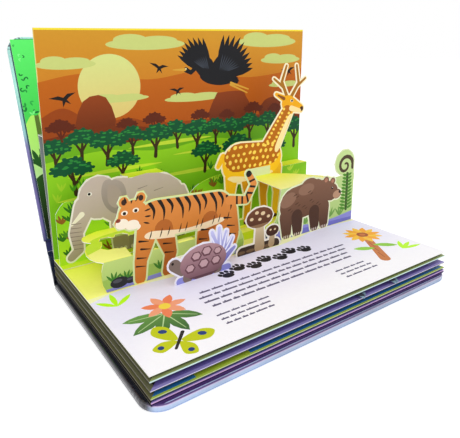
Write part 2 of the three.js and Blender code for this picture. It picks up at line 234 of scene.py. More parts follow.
def outlines(parts, grow=0.0):
    """Outlines of a figure's parts: four numbers make an oval, five a turned one, six a limb."""
    return [(limb if len(part) == 6 else oval)(*part, grow=grow) for part in parts]


def turned_left(outline):
    """The outline, running anticlockwise."""
    area = sum(a[0] * b[1] - b[0] * a[1] for a, b in zip(outline, outline[1:] + outline[:1]))
    return outline if area > 0 else outline[::-1]


class Print:
    """Inks laid on a sheet in order. The sheet is the area inside its own outlines."""

    def __init__(self, *sheet):
        self.shapes = [turned_left(shape) for shape in sheet]
        self.sheet = set(range(len(sheet)))
        self.inks = []

    def lay(self, shapes, colour, within=None):
        """Lays one ink, everywhere or only within shapes laid before. Returns where it lies."""
        first = len(self.shapes)
        self.shapes += [turned_left(shape) for shape in shapes]
        area = set(range(first, len(self.shapes)))
        self.inks.append((area, within, colour if callable(colour) else plain(colour)))
        return area

    def cut(self, shapes):
        """Windows through the sheet and its inks."""
        self.inks.append((self.lay(shapes, "#FFFFFF"), None, None))

    def ink_at(self, shapes):
        for area, within, colour in reversed(self.inks):
            if shapes & area and (within is None or shapes & within):
                return colour
        return None

    def make(self, name, place, body, thick=INK_FILM):
        """Makes the printed film, lying on the face that place puts it on."""
        points, loops = [], []
        for shape in self.shapes:
            loops.append(list(range(len(points), len(points) + len(shape))))
            points += [Vector(p) for p in shape]
        points, _, faces, _, _, parents = delaunay_2d_cdt(points, [], loops, 1, 1e-4)
        bm = bmesh.new()
        inks = bm.loops.layers.float_color.new("ink")
        corners = [bm.verts.new((p.x, p.y, 0)) for p in points]
        for face, shapes in zip(faces, parents):
            shapes = set(shapes)
            colour = self.ink_at(shapes)
            if colour is None or not shapes & self.sheet:
                continue
            drawn = bm.faces.new([corners[i] for i in face])
            for loop in drawn.loops:
                loop[inks] = (*colour(loop.vert.co), 1)
        bmesh.ops.delete(bm, geom=[v for v in bm.verts if not v.link_faces], context="VERTS")
        for vert in bm.verts:
            vert.co = place @ vert.co
        bm.normal_update()
        piece = new_piece(name, bm, bpy.data.materials[PRINT_FINISH])
        film = piece.modifiers.new("Film", "SOLIDIFY")
        film.thickness = thick * MM
        film.offset = 1
        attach(piece, body)


def new_piece(name, bm, material):
    mesh = bpy.data.meshes.new(name)
    bm.to_mesh(mesh)
    bm.free()
    mesh.materials.append(material)
    piece = bpy.data.objects.new(name, mesh)
    bpy.context.scene.collection.objects.link(piece)
    return piece


# Places of the sheets: each takes a point drawn on the sheet to the book

def standing(depth, thick=CARD):
    """The front face of a card that leans with the standing leaf."""
    return (Matrix.Scale(MM, 4)
            @ Matrix.Translation((0, GUTTER_Y - depth, FLOOR_Z))
            @ Matrix.Rotation(LEAN + math.pi / 2, 4, "X")
            @ Matrix.Translation((0, 0, thick)))


def level(z):
    return Matrix.Scale(MM, 4) @ Matrix.Translation((0, GUTTER_Y, z))


def strip_top(height):
    return level(FLOOR_Z + height * math.cos(LEAN))


def inside_cover():
    return (Matrix.Scale(MM, 4)
            @ Matrix.Translation((0, GUTTER_Y + HINGE_SETBACK + SPINE_WIDTH * math.sin(SPINE_LEAN),
                                  SKIN + SPINE_WIDTH * math.cos(SPINE_LEAN)))
            @ Matrix.Rotation(math.pi / 2 - COVER_LEAN, 4, "X")
            @ Matrix.Translation((0, 0, PASTEDOWN_FACE)))


def at(depth, height):
    """How far in front of the gutter, as y on a level sheet, a card at this depth stands at this height."""
    return -depth - height * math.sin(LEAN)


TURNED_ROUND = Matrix.Rotation(math.pi, 4, "Y")


# Materials

class Maths:
    """A shader value that can be used in Python expressions."""

    def __init__(self, tree, socket):
        self.tree = tree
        self.socket = socket

    def _with(self, operation, *others):
        return self.tree.node("ShaderNodeMath", {"operation": operation}, [self, *others])

    def _after(self, operation, other):
        return self.tree.node("ShaderNodeMath", {"operation": operation}, [other, self])

    def __add__(self, other):
        return self._with("ADD", other)

    def __sub__(self, other):
        return self._with("SUBTRACT", other)

    def __rsub__(self, other):
        return self._after("SUBTRACT", other)

    def __mul__(self, other):
        return self._with("MULTIPLY", other)

    def __truediv__(self, other):
        return self._with("DIVIDE", other)

    def __rtruediv__(self, other):
        return self._after("DIVIDE", other)

    def __gt__(self, other):
        return self._with("GREATER_THAN", other)

    def __lt__(self, other):
        return self._with("LESS_THAN", other)

    __radd__ = __add__
    __rmul__ = __mul__

    def least(self, other):
        return self._with("MINIMUM", other)

    def away(self):
        return self._with("ABSOLUTE")

    def root(self):
        return self._with("SQRT")

    def wave(self):
        return self._with("SINE")

    def turned_with(self, other):
        return self._with("ARCTAN2", other)

    def ramp(self, start, end):
        """0 before start, 1 after end, and smooth between them."""
        return self.tree.node("ShaderNodeMapRange", {"interpolation_type": "SMOOTHSTEP"},
                              {"Value": self, "From Min": start, "From Max": end})


class Nodes:
    """Adds nodes to a node tree."""

    def __init__(self, tree):
        self.nodes = tree.nodes
        self.links = tree.links

    def node(self, kind, settings, values=(), output=0):
        node = self.nodes.new(kind)
        for key, value in settings.items():
            setattr(node, key, value)
        pairs = values.items() if isinstance(values, dict) else enumerate(values)
        for key, value in pairs:
            self.set(node.inputs[key], value)
        return Maths(self, node.outputs[output])

    def set(self, socket, value):
        if isinstance(value, Maths):
            self.links.new(value.socket, socket)
        else:
            socket.default_value = value

    def split(self, vector):
        x = self.node("ShaderNodeSeparateXYZ", {}, [vector])
        return [Maths(self, output) for output in x.socket.node.outputs]

    def mix(self, share, a, b):
        a, b = (value if isinstance(value, Maths) else (*value, 1) for value in (a, b))
        return self.node("ShaderNodeMix", {"data_type": "RGBA", "clamp_factor": True}, {0: share, 6: a, 7: b},
                         output=2)

    def stops(self, value, stops, constant=False):
        """Colours along a value; stops are (value, colour code)."""
        first, last = stops[0][0], stops[-1][0]
        share = (value - first) / (last - first)
        colour = self.node("ShaderNodeValToRGB", {}, [share])
        bar = colour.socket.node.color_ramp
        bar.interpolation = "CONSTANT" if constant else "EASE"
        while len(bar.elements) < len(stops):
            bar.elements.new(0.5)
        for element, (place, code) in zip(bar.elements, stops):
            element.position = (place - first) / (last - first)
            element.color = (*ink(code), 1)
        return colour

    def seen(self):
        """1 where the camera looks, straight or in a reflection."""
        rays = self.nodes.new("ShaderNodeLightPath").outputs
        straight, glossy, through = (Maths(self, rays[f"Is {kind} Ray"])
                                     for kind in ("Camera", "Glossy", "Transmission"))
        return straight + glossy + through


class Finish(Nodes):
    """Builds one material's nodes."""

    def __init__(self, name, **settings):
        self.material = bpy.data.materials.new(name)
        self.material.use_nodes = True
        super().__init__(self.material.node_tree)
        self.shader = self.nodes["Principled BSDF"]
        self.feed(**settings)

    def feed(self, **sockets):
        for name, value in sockets.items():
            self.set(self.shader.inputs[name.replace("_", " ")], value)

    def place(self):
        """Object coordinates in millimetres."""
        raw = self.node("ShaderNodeTexCoord", {}, output="Object")
        return self.node("ShaderNodeVectorMath", {"operation": "SCALE"}, {"Vector": raw, "Scale": 1 / MM})

    def normal(self):
        return self.split(self.node("ShaderNodeTexCoord", {}, output="Normal"))

    def noise(self, vector, scale, detail=3.0):
        return self.node("ShaderNodeTexNoise", {}, {"Vector": vector, "Scale": scale, "Detail": detail})

    def bump(self, height, distance, strength=1.0):
        self.feed(Normal=self.node("ShaderNodeBump", {}, {
            "Height": height, "Distance": distance * MM, "Strength": strength}))


def paper(finish, colour, at_place, rough=0.45, mottle=0.05):
    """Satin printed card: faint mottling of the ink, a fine tooth and uneven gloss."""
    speck = finish.noise(at_place, 0.35, 5.0)
    tooth = finish.noise(at_place, 2.6, 2.0)
    shade = finish.mix(speck * mottle, colour, (0.0, 0.0, 0.0))
    finish.feed(Base_Color=shade, Roughness=speck * 0.16 + (rough - 0.08))
    finish.bump(tooth, 0.012, 0.5)
    return finish.material


def make_print_finish():
    f = Finish(PRINT_FINISH, Specular_IOR_Level=0.16)
    colour = f.node("ShaderNodeAttribute", {"attribute_name": "ink"}, output="Color")
    paper(f, colour, f.place())


def card_finish(name, margin_code, strip_code, back_code="#F4F1EA"):
    """A die-cut card: margin colour in front, strip colour on top, plain behind, white at the cut edges."""
    f = Finish(name, Specular_IOR_Level=0.2)
    where = f.place()
    _, ny, nz = f.normal()
    colour = f.mix(ny < -0.9, ink("#FBFAF4"), ink(margin_code))
    colour = f.mix(ny > 0.9, colour, ink(back_code))
    colour = f.mix(nz > 0.9, colour, ink(strip_code))
    return paper(f, colour, where)


def leaves_finish():
    """White leaves whose closed spreads show their prints between the cut edges, with painted shade in the
    gaps between the leaves, darker deeper in.
    """
    f = Finish("leaves", Specular_IOR_Level=0.25)
    where = f.place()
    x, y, z = f.split(where)
    _, ny, nz = f.normal()
    from_front = y - (GUTTER_Y - PAGE_WIDTH)
    from_left = x + PAGE_HALF
    inset = from_front.least(from_left).least(PAGE_HALF - x)
    # Painted shade: on the tops of the leaves the colour is taken higher up the stops the deeper it lies from
    # the cut edge, which darkens the gaps inwards
    level = z + (nz > 0.5) * ((inset * 0.55).least(2.2) + 0.25) - (nz < -0.5) * 0.25
    green_stretch = (x > -98.0) * (x < -62.0) * (level > 9.8) * (level < 12.3)
    front = f.mix(green_stretch, f.stops(level, FRONT_EDGE_AND_GAP_SHADE, constant=True), ink("#A9BC3E"))
    colour = f.mix(from_left < from_front, front, f.stops(level, END_EDGE_AND_GAP_SHADE, constant=True))
    wall = (z > PAGE_TOP + 1)
    behind = f.stops(z + x * 0.08, [(30, "#7FBF3A"), (80, "#A9DE6A"), (140, "#5FA04A"), (190, "#BFE8A0")])
    colour = f.mix(wall * (ny > 0.9), colour, behind)
    edges = wall * (1 - (ny > 0.9))
    colour = f.mix(edges, colour, ink("#F3E9C8"))
    return paper(f, colour, where)


def wrinkled(finish, colour, where, wrinkle, dull=0.0):
    """Glossy film over a padded board, with soft dents and gathered corners."""
    cloud = finish.noise(where, 0.03, 4.0)
    dents = finish.noise(where, 0.05, 3.0)
    shade = finish.mix((cloud - 0.4) * 0.8, colour, ink("#1C2A40"))
    finish.feed(Base_Color=shade, Roughness=cloud * 0.2 + 0.14 + dull * 0.6, Coat_Weight=0.6 - dull * 0.6)
    finish.bump(dents + wrinkle, 0.6, 0.4)
    return finish.material


def gathers(finish, across, along, corner_x, corner_y):
    """Folds of film that fan out around a rounded corner."""
    x, y = across - corner_x, along - corner_y
    angle = x.turned_with(y)
    reach = (x * x + y * y).root()
    folds = (angle * 26.0 + finish.noise(finish.place(), 0.2) * 5.0).wave()
    return folds * reach.ramp(4.0, 10.0) * (1 - reach.ramp(14.0, 24.0)) * 0.5


def film(name):
    return Finish(name, Specular_IOR_Level=0.3, Coat_Roughness=0.08)


def front_cover_finish():
    """Cyan turning to violet down the padded edge, with a dark line around the pastedown."""
    f = film("blue film")
    where = f.place()
    x, y, z = f.split(where)
    c, s = math.cos(COVER_LEAN), math.sin(COVER_LEAN)
    hinge_y = GUTTER_Y + HINGE_SETBACK + SPINE_WIDTH * math.sin(SPINE_LEAN)
    hinge_z = SKIN + SPINE_WIDTH * math.cos(SPINE_LEAN)
    along = (y - hinge_y) * s + (z - hinge_z) * c
    inward = (z - hinge_z) * s - (y - hinge_y) * c
    cloud = f.noise(where, 0.05, 3.0)
    colour = f.stops(along + cloud * 30.0, [
        (20, "#3A3A70"), (45, "#6E62A8"), (98, "#7A70B0"), (122, "#8FC4CC"), (150, "#A8E6DC"),
        (212, "#B4ECE4")])
    shine = inward.ramp(0.6, 1.6) - inward.ramp(2.0, 3.0)
    colour = f.mix(shine * 0.45, colour, ink("#E6FAF6"))
    beside = (x.away() < PAGE_HALF + 0.9) * (along < 179.9)
    colour = f.mix(beside * inward.ramp(3.3, 3.8), colour, ink("#24405A"))
    outside = f.stops(along, [(9, "#101830"), (80, "#28407A"), (182, "#6FA8D8")])
    colour = f.mix(inward < 0.2, colour, outside)
    folds = gathers(f, x.away(), along, 115.0, 169.0)
    corner = along.ramp(168.0, 174.0) * x.away().ramp(113.0, 119.0)
    # Painted shade: dark navy in the folds of the gathered corner
    colour = f.mix(corner * folds.ramp(-0.1, 0.2) * 0.9, colour, ink("#12283C"))
    return wrinkled(f, colour, where, folds)


def back_cover_finish():
    """Black along the left end and the joint, pale blue along the fore-edge, with a painted highlight along
    the left end and painted shade at the top of the fore-edge.
    """
    f = film("dark film")
    where = f.place()
    x, y, z = f.split(where)
    # Pale blue fore-edge; the dark violet near its top is painted shade at the foot of the leaves
    front = f.stops(z, [
        (0.0, "#7C9CE0"), (0.5, "#8CACEA"), (0.9, "#B4CCF2"), (3.2, "#C2D4F4"), (3.6, "#D8CCEE"),
        (4.1, "#5A3C80"), (4.5, "#4B326E")])
    front = f.mix((z > 4.4) * (y < -84.9), front, ink("#B9C6EE"))
    front = f.mix(x.ramp(-112.0, -10.0) * 0.36, front, ink("#3C4658"))
    # The left end: dark, with a painted highlight, a grey band about 1 to 2 mm up
    end = f.stops(z, [
        (0.0, "#141418"), (0.5, "#2A2A30"), (1.0, "#86848C"), (1.7, "#6A6870"), (2.4, "#2E2C34"),
        (3.4, "#26242A"), (3.8, "#5C585E"), (4.1, "#2A282E"), (4.5, "#17161E")])
    turn = (x + 128.0) - (y + 86.5)
    colour = f.mix(turn.ramp(-6.0, 2.0), end, front)
    colour = f.mix(y.ramp(60.0, 80.0), colour, ink("#10131C"))
    return wrinkled(f, colour, where, gathers(f, x.away(), y, 115.0, -73.5), 1 - z.ramp(0.9, 2.2))


def spine_finish():
    f = film("spine film")
    where = f.place()
    *_, z = f.split(where)
    colour = f.stops(z, [(0, "#080C16"), (14, "#101830"), (26, "#1A2448")])
    return wrinkled(f, colour, where, f.noise(where, 0.4, 3.0))


# Colours of the leaves' cut edges and of what shows between them, prints and painted shade in the gaps
# between the leaves: heights in millimetres
FRONT_EDGE_AND_GAP_SHADE = [
    (0.0, "#20242C"), (4.4, "#4B326E"), (5.0, "#463068"), (5.8, "#C8A0D2"), (6.62, "#8E84C0"),
    (7.2, "#5C5494"), (8.0, "#4A5A3C"), (8.3, "#C2CC9A"), (8.82, "#AEC84C"), (9.8, "#2F7CC4"),
    (11.3, "#2E2A14"), (12.7, "#D8D2EC"), (13.22, "#9A90CC"), (14.7, "#776AB4"), (16.0, "#5C5094"),
    (17.9, "#CBE6E2"), (18.72, "#A6B872"), (20.4, "#4A3C22"), (21.2, "#E4EAD8"), (21.5, "#F4F2F6"),
    (22.4, "#FAF8FC"),
]
END_EDGE_AND_GAP_SHADE = [
    (0.0, "#16161C"), (4.6, "#14131A"), (6.2, "#5C5846"), (6.62, "#2C281E"), (8.4, "#7E745C"),
    (8.82, "#6E6C48"), (10.9, "#1A1618"), (12.8, "#79705C"), (13.22, "#6E6E50"), (15.4, "#1E181C"),
    (18.3, "#827A64"), (18.72, "#6C6C4C"), (20.2, "#1E1A18"), (21.2, "#D8D4C4"), (21.5, "#F0EEEA"),
    (22.4, "#FAF8FC"),
]


def coat(node, material):
    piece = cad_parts[node]
    piece.data.materials.clear()
    piece.data.materials.append(material)


# Settings

def colour_setting(name, description, code):
    return FloatVectorProperty(name=name, description=description, subtype="COLOR", min=0, max=1,
                               default=ink(code))


class BookSettings(PropertyGroup):
    """Colours of the book's printed sheets."""

    sky_high: colour_setting("Upper sky", "Sky along the leaf's top edge", "#D0942A")
    sky_low: colour_setting("Lower sky", "Sky down at the skyline", "#C8661A")
    meadow: colour_setting("Meadow", "Ground of the back layer", "#86C81E")


class StageSettings(PropertyGroup):
    """Floor, lamps and camera."""

    lens: FloatProperty(name="Lens", description="Focal length of the camera", unit="CAMERA", default=38.46)
    key_power: FloatProperty(name="Key lamp", description="Power of the large lamp", default=14.0, min=0)
    fill_power: FloatProperty(name="Fill lamp", description="Power of the side lamp", default=5.0, min=0)
    sky_light: FloatProperty(name="Sky light", description="Even light from all around", default=0.75, min=0)


# Prints

def tree(x, y, size, rng, lean=0.0):
    """Trunk, leafy crown and lit leaves of a small broad tree."""
    top = x + lean * size
    trunk = [limb(x, y, size * 0.07, top, y + size * 0.7, size * 0.04, steps=3),
             limb(x, y + size * 0.35, size * 0.05, x - size * 0.22, y + size * 0.72, size * 0.03, steps=3),
             limb(x, y + size * 0.3, size * 0.05, x + size * 0.26, y + size * 0.7, size * 0.03, steps=3)]
    crown, light = [], []
    for dx, dy, rx, ry in ((-0.3, 0.8, 0.3, 0.16), (0.3, 0.78, 0.32, 0.17), (0, 0.95, 0.36, 0.2)):
        crown.append(oval(top + dx * size, y + dy * size, rx * size, ry * size, steps=12))
        for i in range(9):
            a = 2 * math.pi * i / 9 + rng.uniform(-0.2, 0.2)
            cx, cy = top + (dx + rx * math.cos(a)) * size, y + (dy + ry * math.sin(a)) * size
            crown.append(oval(cx, cy, size * 0.08, size * 0.055, steps=6))
        for i in range(5):
            cx = top + (dx + rng.uniform(-0.8, 0.8) * rx) * size
            cy = y + (dy + rng.uniform(-0.2, 0.7) * ry) * size
            light.append(oval(cx, cy, size * rng.uniform(0.05, 0.1), size * 0.03, steps=6))
    return trunk, crown, light


def heron(x, y, scale, turn=0.0):
    """A large wading bird in flight, with bent neck and spread wings."""
    near = [leaf(-5 - i, 3, 47 - 1.7 * abs(i - 3), 7, 90 + 7.5 * i) for i in range(10)]
    far = [leaf(4 + i, 4, 42 - 1.6 * abs(i - 3), 6.4, 66 - 6.5 * i) for i in range(8)]
    coverts = [smooth([(4, 3), (2, 17), (-7, 26), (-20, 21), (-25, 8), (-12, -2)], steps=5),
               smooth([(-2, 4), (5, 18), (17, 20), (23, 11), (12, 1)], steps=5)]
    tail = [leaf(-16, 0, 17 - abs(i), 5, 176 + 7 * i) for i in range(-2, 3)]
    body = smooth([(-24, -1), (-10, -6), (6, -6), (16, -1), (12, 6), (-4, 7), (-18, 4)], steps=5)
    neck = [limb(12, 2, 4, 22, 8, 2.4), limb(22, 8, 2.4, 27, 2, 2), limb(27, 2, 2, 33, 4, 2.6)]
    bill = [limb(34, 4, 1.5, 47, 2, 0.4, steps=3)]
    legs = [limb(-22, -2, 1.2, -46, -6, 0.7, steps=3), limb(-22, -4, 1.2, -45, -10, 0.7, steps=3)]
    feathers = [leaf(-6 - 1.1 * i, 9, 17, 1.2, 94 + 7.5 * i) for i in range(9)]
    feathers += [leaf(7 + i, 8, 14, 1.1, 64 - 6.5 * i) for i in range(7)]
    place = {"scale": scale, "turn": turn, "flip": -1}
    return {
        "dark": [moved(s, x, y, **place) for s in [*near, *far, *tail, *coverts, body, *neck]],
        "grey": [moved(s, x, y, **place) for s in feathers],
        "bill": [moved(s, x, y, **place) for s in bill + legs],
        "eye": [moved(oval(33, 5, 0.8, 0.8, steps=8), x, y, **place)],
    }


def swallow(x, y, scale, turn):
    shape = [(0, 0), (5, 3), (14, 2), (6, -1), (3, -3), (6, -9), (1, -5), (-3, -10), (-2, -3), (-6, -1),
             (-15, 3), (-5, 3)]
    return moved(shape, x, y, scale, turn)


def tufts(sheet, rng, spots, lengths, width, spread, colours):
    """Fans of pointed leaves. Each leaf's length and each fan's colour are drawn by chance."""
    for x, y in spots:
        fan = [leaf(x, y, rng.uniform(*lengths), width, 90 + d) for d in spread]
        sheet.lay(fan, rng.choice(colours))


def details(sheet, within, *rows):
    """Small marks on a figure. A row is a colour and the ovals and limbs that it fills."""
    for colour, *parts in rows:
        sheet.lay(outlines(parts), colour, within)


def print_strip(name, x0, x1, height, depth, behind, colour):
    """A plain level strip, from a card back to the card or leaf behind it."""
    outline = rectangle(x0, x1, at(depth, height), at(behind + CARD + SEAT, height))
    strip = Print(outline)
    strip.lay([outline], colour)
    strip.make(name, strip_top(height), "block")


def blades(spots, length, width, spread):
    """Fans of pointed leaves, all of one length."""
    return [leaf(x, y, length, width, 90 + d) for x, y in spots for d in spread]


def print_leaf(settings):
    """Evening over fields, on the standing leaf."""
    rng = random.Random(7)
    half = PAGE_HALF
    sheet = Print(rectangle(-half, half, 0, PAGE_WIDTH))
    low, high = tuple(settings.sky_low), tuple(settings.sky_high)
    sheet.lay([rectangle(-half, half, 0, PAGE_WIDTH)], lambda p: blend(low, high, (p[1] - 95) / 75))
    sheet.lay([rectangle(-half, half, 174.6, PAGE_WIDTH)], "#F6E13C")
    sheet.lay([rectangle(-half, -half + 0.5, 0, PAGE_WIDTH)], fade("#9CC84A", "#E8C86A", 40, 120))
    sheet.lay([ground([(-half, 138), (-90, 143), (-40, 136), (10, 141), (60, 133), (half, 139)], 60)],
              fade("#A8460C", "#BE6414", 70, 140))
    sheet.lay([oval(-72, 132, 25, 25, steps=48)], fade("#E2C878", "#D6E08C", 108, 158))
    clouds = [(-40, 164, 34, 4.6), (-104, 150, 22, 3.6), (82, 165, 34, 5), (98, 148, 24, 3.6),
              (4, 118, 30, 3), (-66, 122, 26, 2.6), (104, 124, 20, 2.4)]
    for x, y, w, t in clouds:
        puffs = [oval(x, y, w, t, steps=28), oval(x - w * 0.4, y + t * 0.7, w * 0.42, t, steps=20),
                 oval(x + w * 0.3, y + t * 0.6, w * 0.5, t * 0.8, steps=20)]
        sheet.lay(puffs, "#C9D27C")
    sheet.lay([ground([(-half, 112), (-108, 118), (-84, 104), (-58, 106), (-20, 99), (half, 97)], 60)],
              "#96420F")
    mesas = [[(18, 96), (24, 118), (30, 121), (52, 121), (57, 116), (64, 97)],
             [(74, 96), (79, 110), (96, 112), (103, 97)], [(-100, 96), (-94, 122), (-76, 124), (-70, 98)]]
    sheet.lay([smooth(m, steps=3) for m in mesas], fade("#6B2C10", "#8E3F16", 96, 124))
    sheet.lay([ground([(-half, 96), (-70, 101), (-10, 92), (50, 97), (half, 92)], 40)], "#74300F")
    for x, size in ((-112, 17), (-60, 14), (-36, 16), (8, 15), (36, 13), (66, 17), (92, 14)):
        trunk, crown, _ = tree(x, 90, size, rng)
        sheet.lay(trunk + crown, "#5E2410")
    sheet.lay([ground([(-half, 88), (-95, 92), (-60, 86), (-10, 90), (40, 84), (90, 90), (half, 86)])],
              fade("#4C9A1A", "#6FB21C", 30, 88))
    sheet.lay([ground([(-half, 78), (-80, 82), (-30, 76), (20, 80), (70, 73), (half, 79)])],
              fade("#7CC41C", "#94D222", 20, 80))
    paths = [(81, -60, 20), (70, -20, 88), (64, -110, -30), (52, -60, 60), (40, 10, 110), (46, -120, -60)]
    for y, x0, x1 in paths:
        mid = (x0 + x1) / 2
        sheet.lay([smooth([(x0, y), (mid, y + 2.4), (x1, y + 1), (mid + 6, y - 1)], steps=6)], "#C8E23C")
    trees = [(-117, 72, 20), (-98, 76, 22), (-78, 70, 24), (-56, 76, 20), (-36, 71, 24), (-15, 76, 21),
             (4, 70, 25), (24, 75, 20), (42, 69, 24), (62, 74, 22), (84, 70, 25), (106, 73, 22),
             (118, 60, 26), (-104, 50, 26), (-66, 54, 22), (50, 48, 28), (92, 44, 26), (12, 50, 24)]
    for x, y, size in trees:
        trunk, crown, light = tree(x, y, size, rng, rng.uniform(-0.08, 0.08))
        sheet.lay(trunk, "#3A2A14")
        sheet.lay(crown, "#0E5230")
        sheet.lay(light, "#2E8A3C")
    spots = ((rng.uniform(-120, 120), rng.uniform(6, 58)) for _ in range(60))
    tufts(sheet, rng, spots, (5, 9), 1.6, (-32, -8, 20), ["#2F7D1E", "#4C9A1C", "#A6D42C"])
    bird = heron(22, 134, 0.86, -10)
    for part, colour in (("dark", "#16161A"), ("grey", "#3A3F49"), ("bill", "#D8A23A"), ("eye", "#F4E9B0")):
        sheet.lay(bird[part], colour)
    flock = [(-108, 126, 0.7, 12), (-30, 146, 0.6, -10), (-14, 126, 0.5, 4), (108, 138, 0.6, 8)]
    sheet.lay([swallow(*place) for place in flock], "#1B1512")
    sheet.make("leaf_print", standing(-LEAF, LEAF), "block")


def print_page():
    """Yellow ground under the layers, and pale paper in front with plants and greyed lines of text."""
    rng = random.Random(11)
    half, front = PAGE_HALF, -PAGE_WIDTH
    sheet = Print(rectangle(-half, half, front, 0))
    # Painted shade: the paper turns lavender towards the pop-ups and white towards the front
    sheet.lay([rectangle(-half, half, front, 0)], fade("#EDEAFC", "#FCFBFF", -112, -160))
    shore = smooth([(-half, -86), (-100, -80), (-60, -84), (-20, -79), (30, -86), (80, -79), (half, -82)],
                   closed=False)
    sheet.lay([shore + [(half, 0), (-half, 0)]], fade("#F0FF24", "#FFFF86", -18, -60))
    sheet.lay([shore + [(half, -76), (-half, -80)]], "#FBFBC0")
    for x, y, rx, ry in ((-60, -30, 40, 7), (40, -52, 44, 8), (-30, -62, 30, 5), (90, -24, 22, 5)):
        sheet.lay([oval(x, y, rx, ry)], "#D2F024")
    # A row of paw prints where a page's heading stands
    for i in range(7):
        x, y = -32 + 12.4 * i, -104 + (2.2 if i % 2 else -2.2)
        toes = [(-5, 3), (-1.9, 5.8), (1.9, 5.8), (5, 3)]
        paw = [oval(x, y, 4.8, 3.6, steps=18)]
        paw += [oval(x + dx, y + dy, 1.7, 2.4, steps=12) for dx, dy in toes]
        sheet.lay(paw, "#1B1A20")
    for row, (start, end) in enumerate(((-62, 64), (-66, 66), (-66, 62), (-64, 58))):
        text_line(sheet, rng, start, end, -118 - 6.6 * row, 1.9)
    for start, end, top in ((-68, -34, -149), (32, 60, -150)):
        for row in range(3):
            text_line(sheet, rng, start, end, top - 5.4 * row, 1.5)
    plants(sheet)
    sheet.make("page_print", level(PAGE_TOP), "block")


def text_line(sheet, rng, start, end, y, height):
    """A line of text as grey bars, one for each word."""
    x = start
    while x < end:
        width = rng.uniform(2.4, 6.5) * height
        bar = rectangle(x, x + width, y, y + height)
        tall = rectangle(x + width * 0.3, x + width * 0.3 + height * 0.5, y + height - 0.1, y + height * 1.5)
        sheet.lay([bar, tall], "#5E5A74")
        x += width + height * 0.7


def butterfly(sheet, x, y, scale, turn, wing, spot):
    wings = [smooth([(1, 1), (9, 11), (17, 11), (16, 3), (6, -1)], steps=5),
             smooth([(1, -1), (9, -3), (12, -10), (6, -12), (2, -6)], steps=5)]
    both = wings + [[(-u, v) for u, v in w][::-1] for w in wings]
    sheet.lay([moved(w, x, y, scale, turn) for w in both], wing)
    marks = [oval(11, 7, 2.6, 2, steps=10), oval(8, -8, 1.8, 1.8, steps=10)]
    marks += [[(-u, v) for u, v in m][::-1] for m in marks]
    sheet.lay([moved(m, x, y, scale, turn) for m in marks], spot)
    sheet.lay([moved(limb(0, 8, 1.1, 0, -8, 0.8, steps=4), x, y, scale, turn)], "#2A2A2A")


def plants(sheet):
    """Leaves, blooms and a butterfly printed on the pale paper."""
    sprigs = [(-112, -100, 40, 17), (-112, -100, 85, 19), (-112, -100, 130, 16), (104, -152, 20, 17),
              (104, -152, -10, 19), (104, -152, 50, 16)]
    for x, y, turn, size in sprigs:
        sheet.lay([leaf(x, y, size, 4, turn)], "#BEFA22")
    x, y = -92, -126
    for turn, size in ((205, 28), (240, 27), (170, 26), (278, 26), (320, 24)):
        sheet.lay([leaf(x, y, size, 9, turn)], fade("#3E6B38", "#6FA04E", y - 20, y + 10))
        c, s = math.cos(math.radians(turn)), math.sin(math.radians(turn))
        sheet.lay([limb(x, y, 0.5, x + size * 0.85 * c, y + size * 0.85 * s, 0.2, steps=3)], "#B9D79A")
    for i in range(7):
        sheet.lay([leaf(-88, -118, 15, 6.6, 51 * i)], "#F0855A" if i % 2 else "#F4A27C")
    sheet.lay([oval(-88, -118, 3.8, 3.8)], "#F6D94A")
    butterfly(sheet, -98, -157, 1.05, -40, "#C3CC1E", "#24407E")
    sheet.lay([limb(102, -114, 3.2, 78, -156, 4.2)], "#C97A3E")
    sheet.lay([limb(98 - 5 * i, -118 - 9 * i, 0.5, 95 - 5 * i, -127 - 9 * i, 0.3, steps=3) for i in range(4)],
              "#A45A28")
    sheet.lay([leaf(92, -132, 20, 7, 320), leaf(88, -138, 18, 7, 150)],
              fade("#7CBF2A", "#A4DC4A", -150, -120))
    for i in range(12):
        sheet.lay([leaf(102, -112, 17, 6.4, 30 * i + 12)], "#F7A81C" if i % 2 else "#FBC63A")
    sheet.lay([oval(102, -112, 5, 5)], "#A4501C")
    sheet.lay([oval(102, -112, 2.6, 2.6)], "#C9742E")


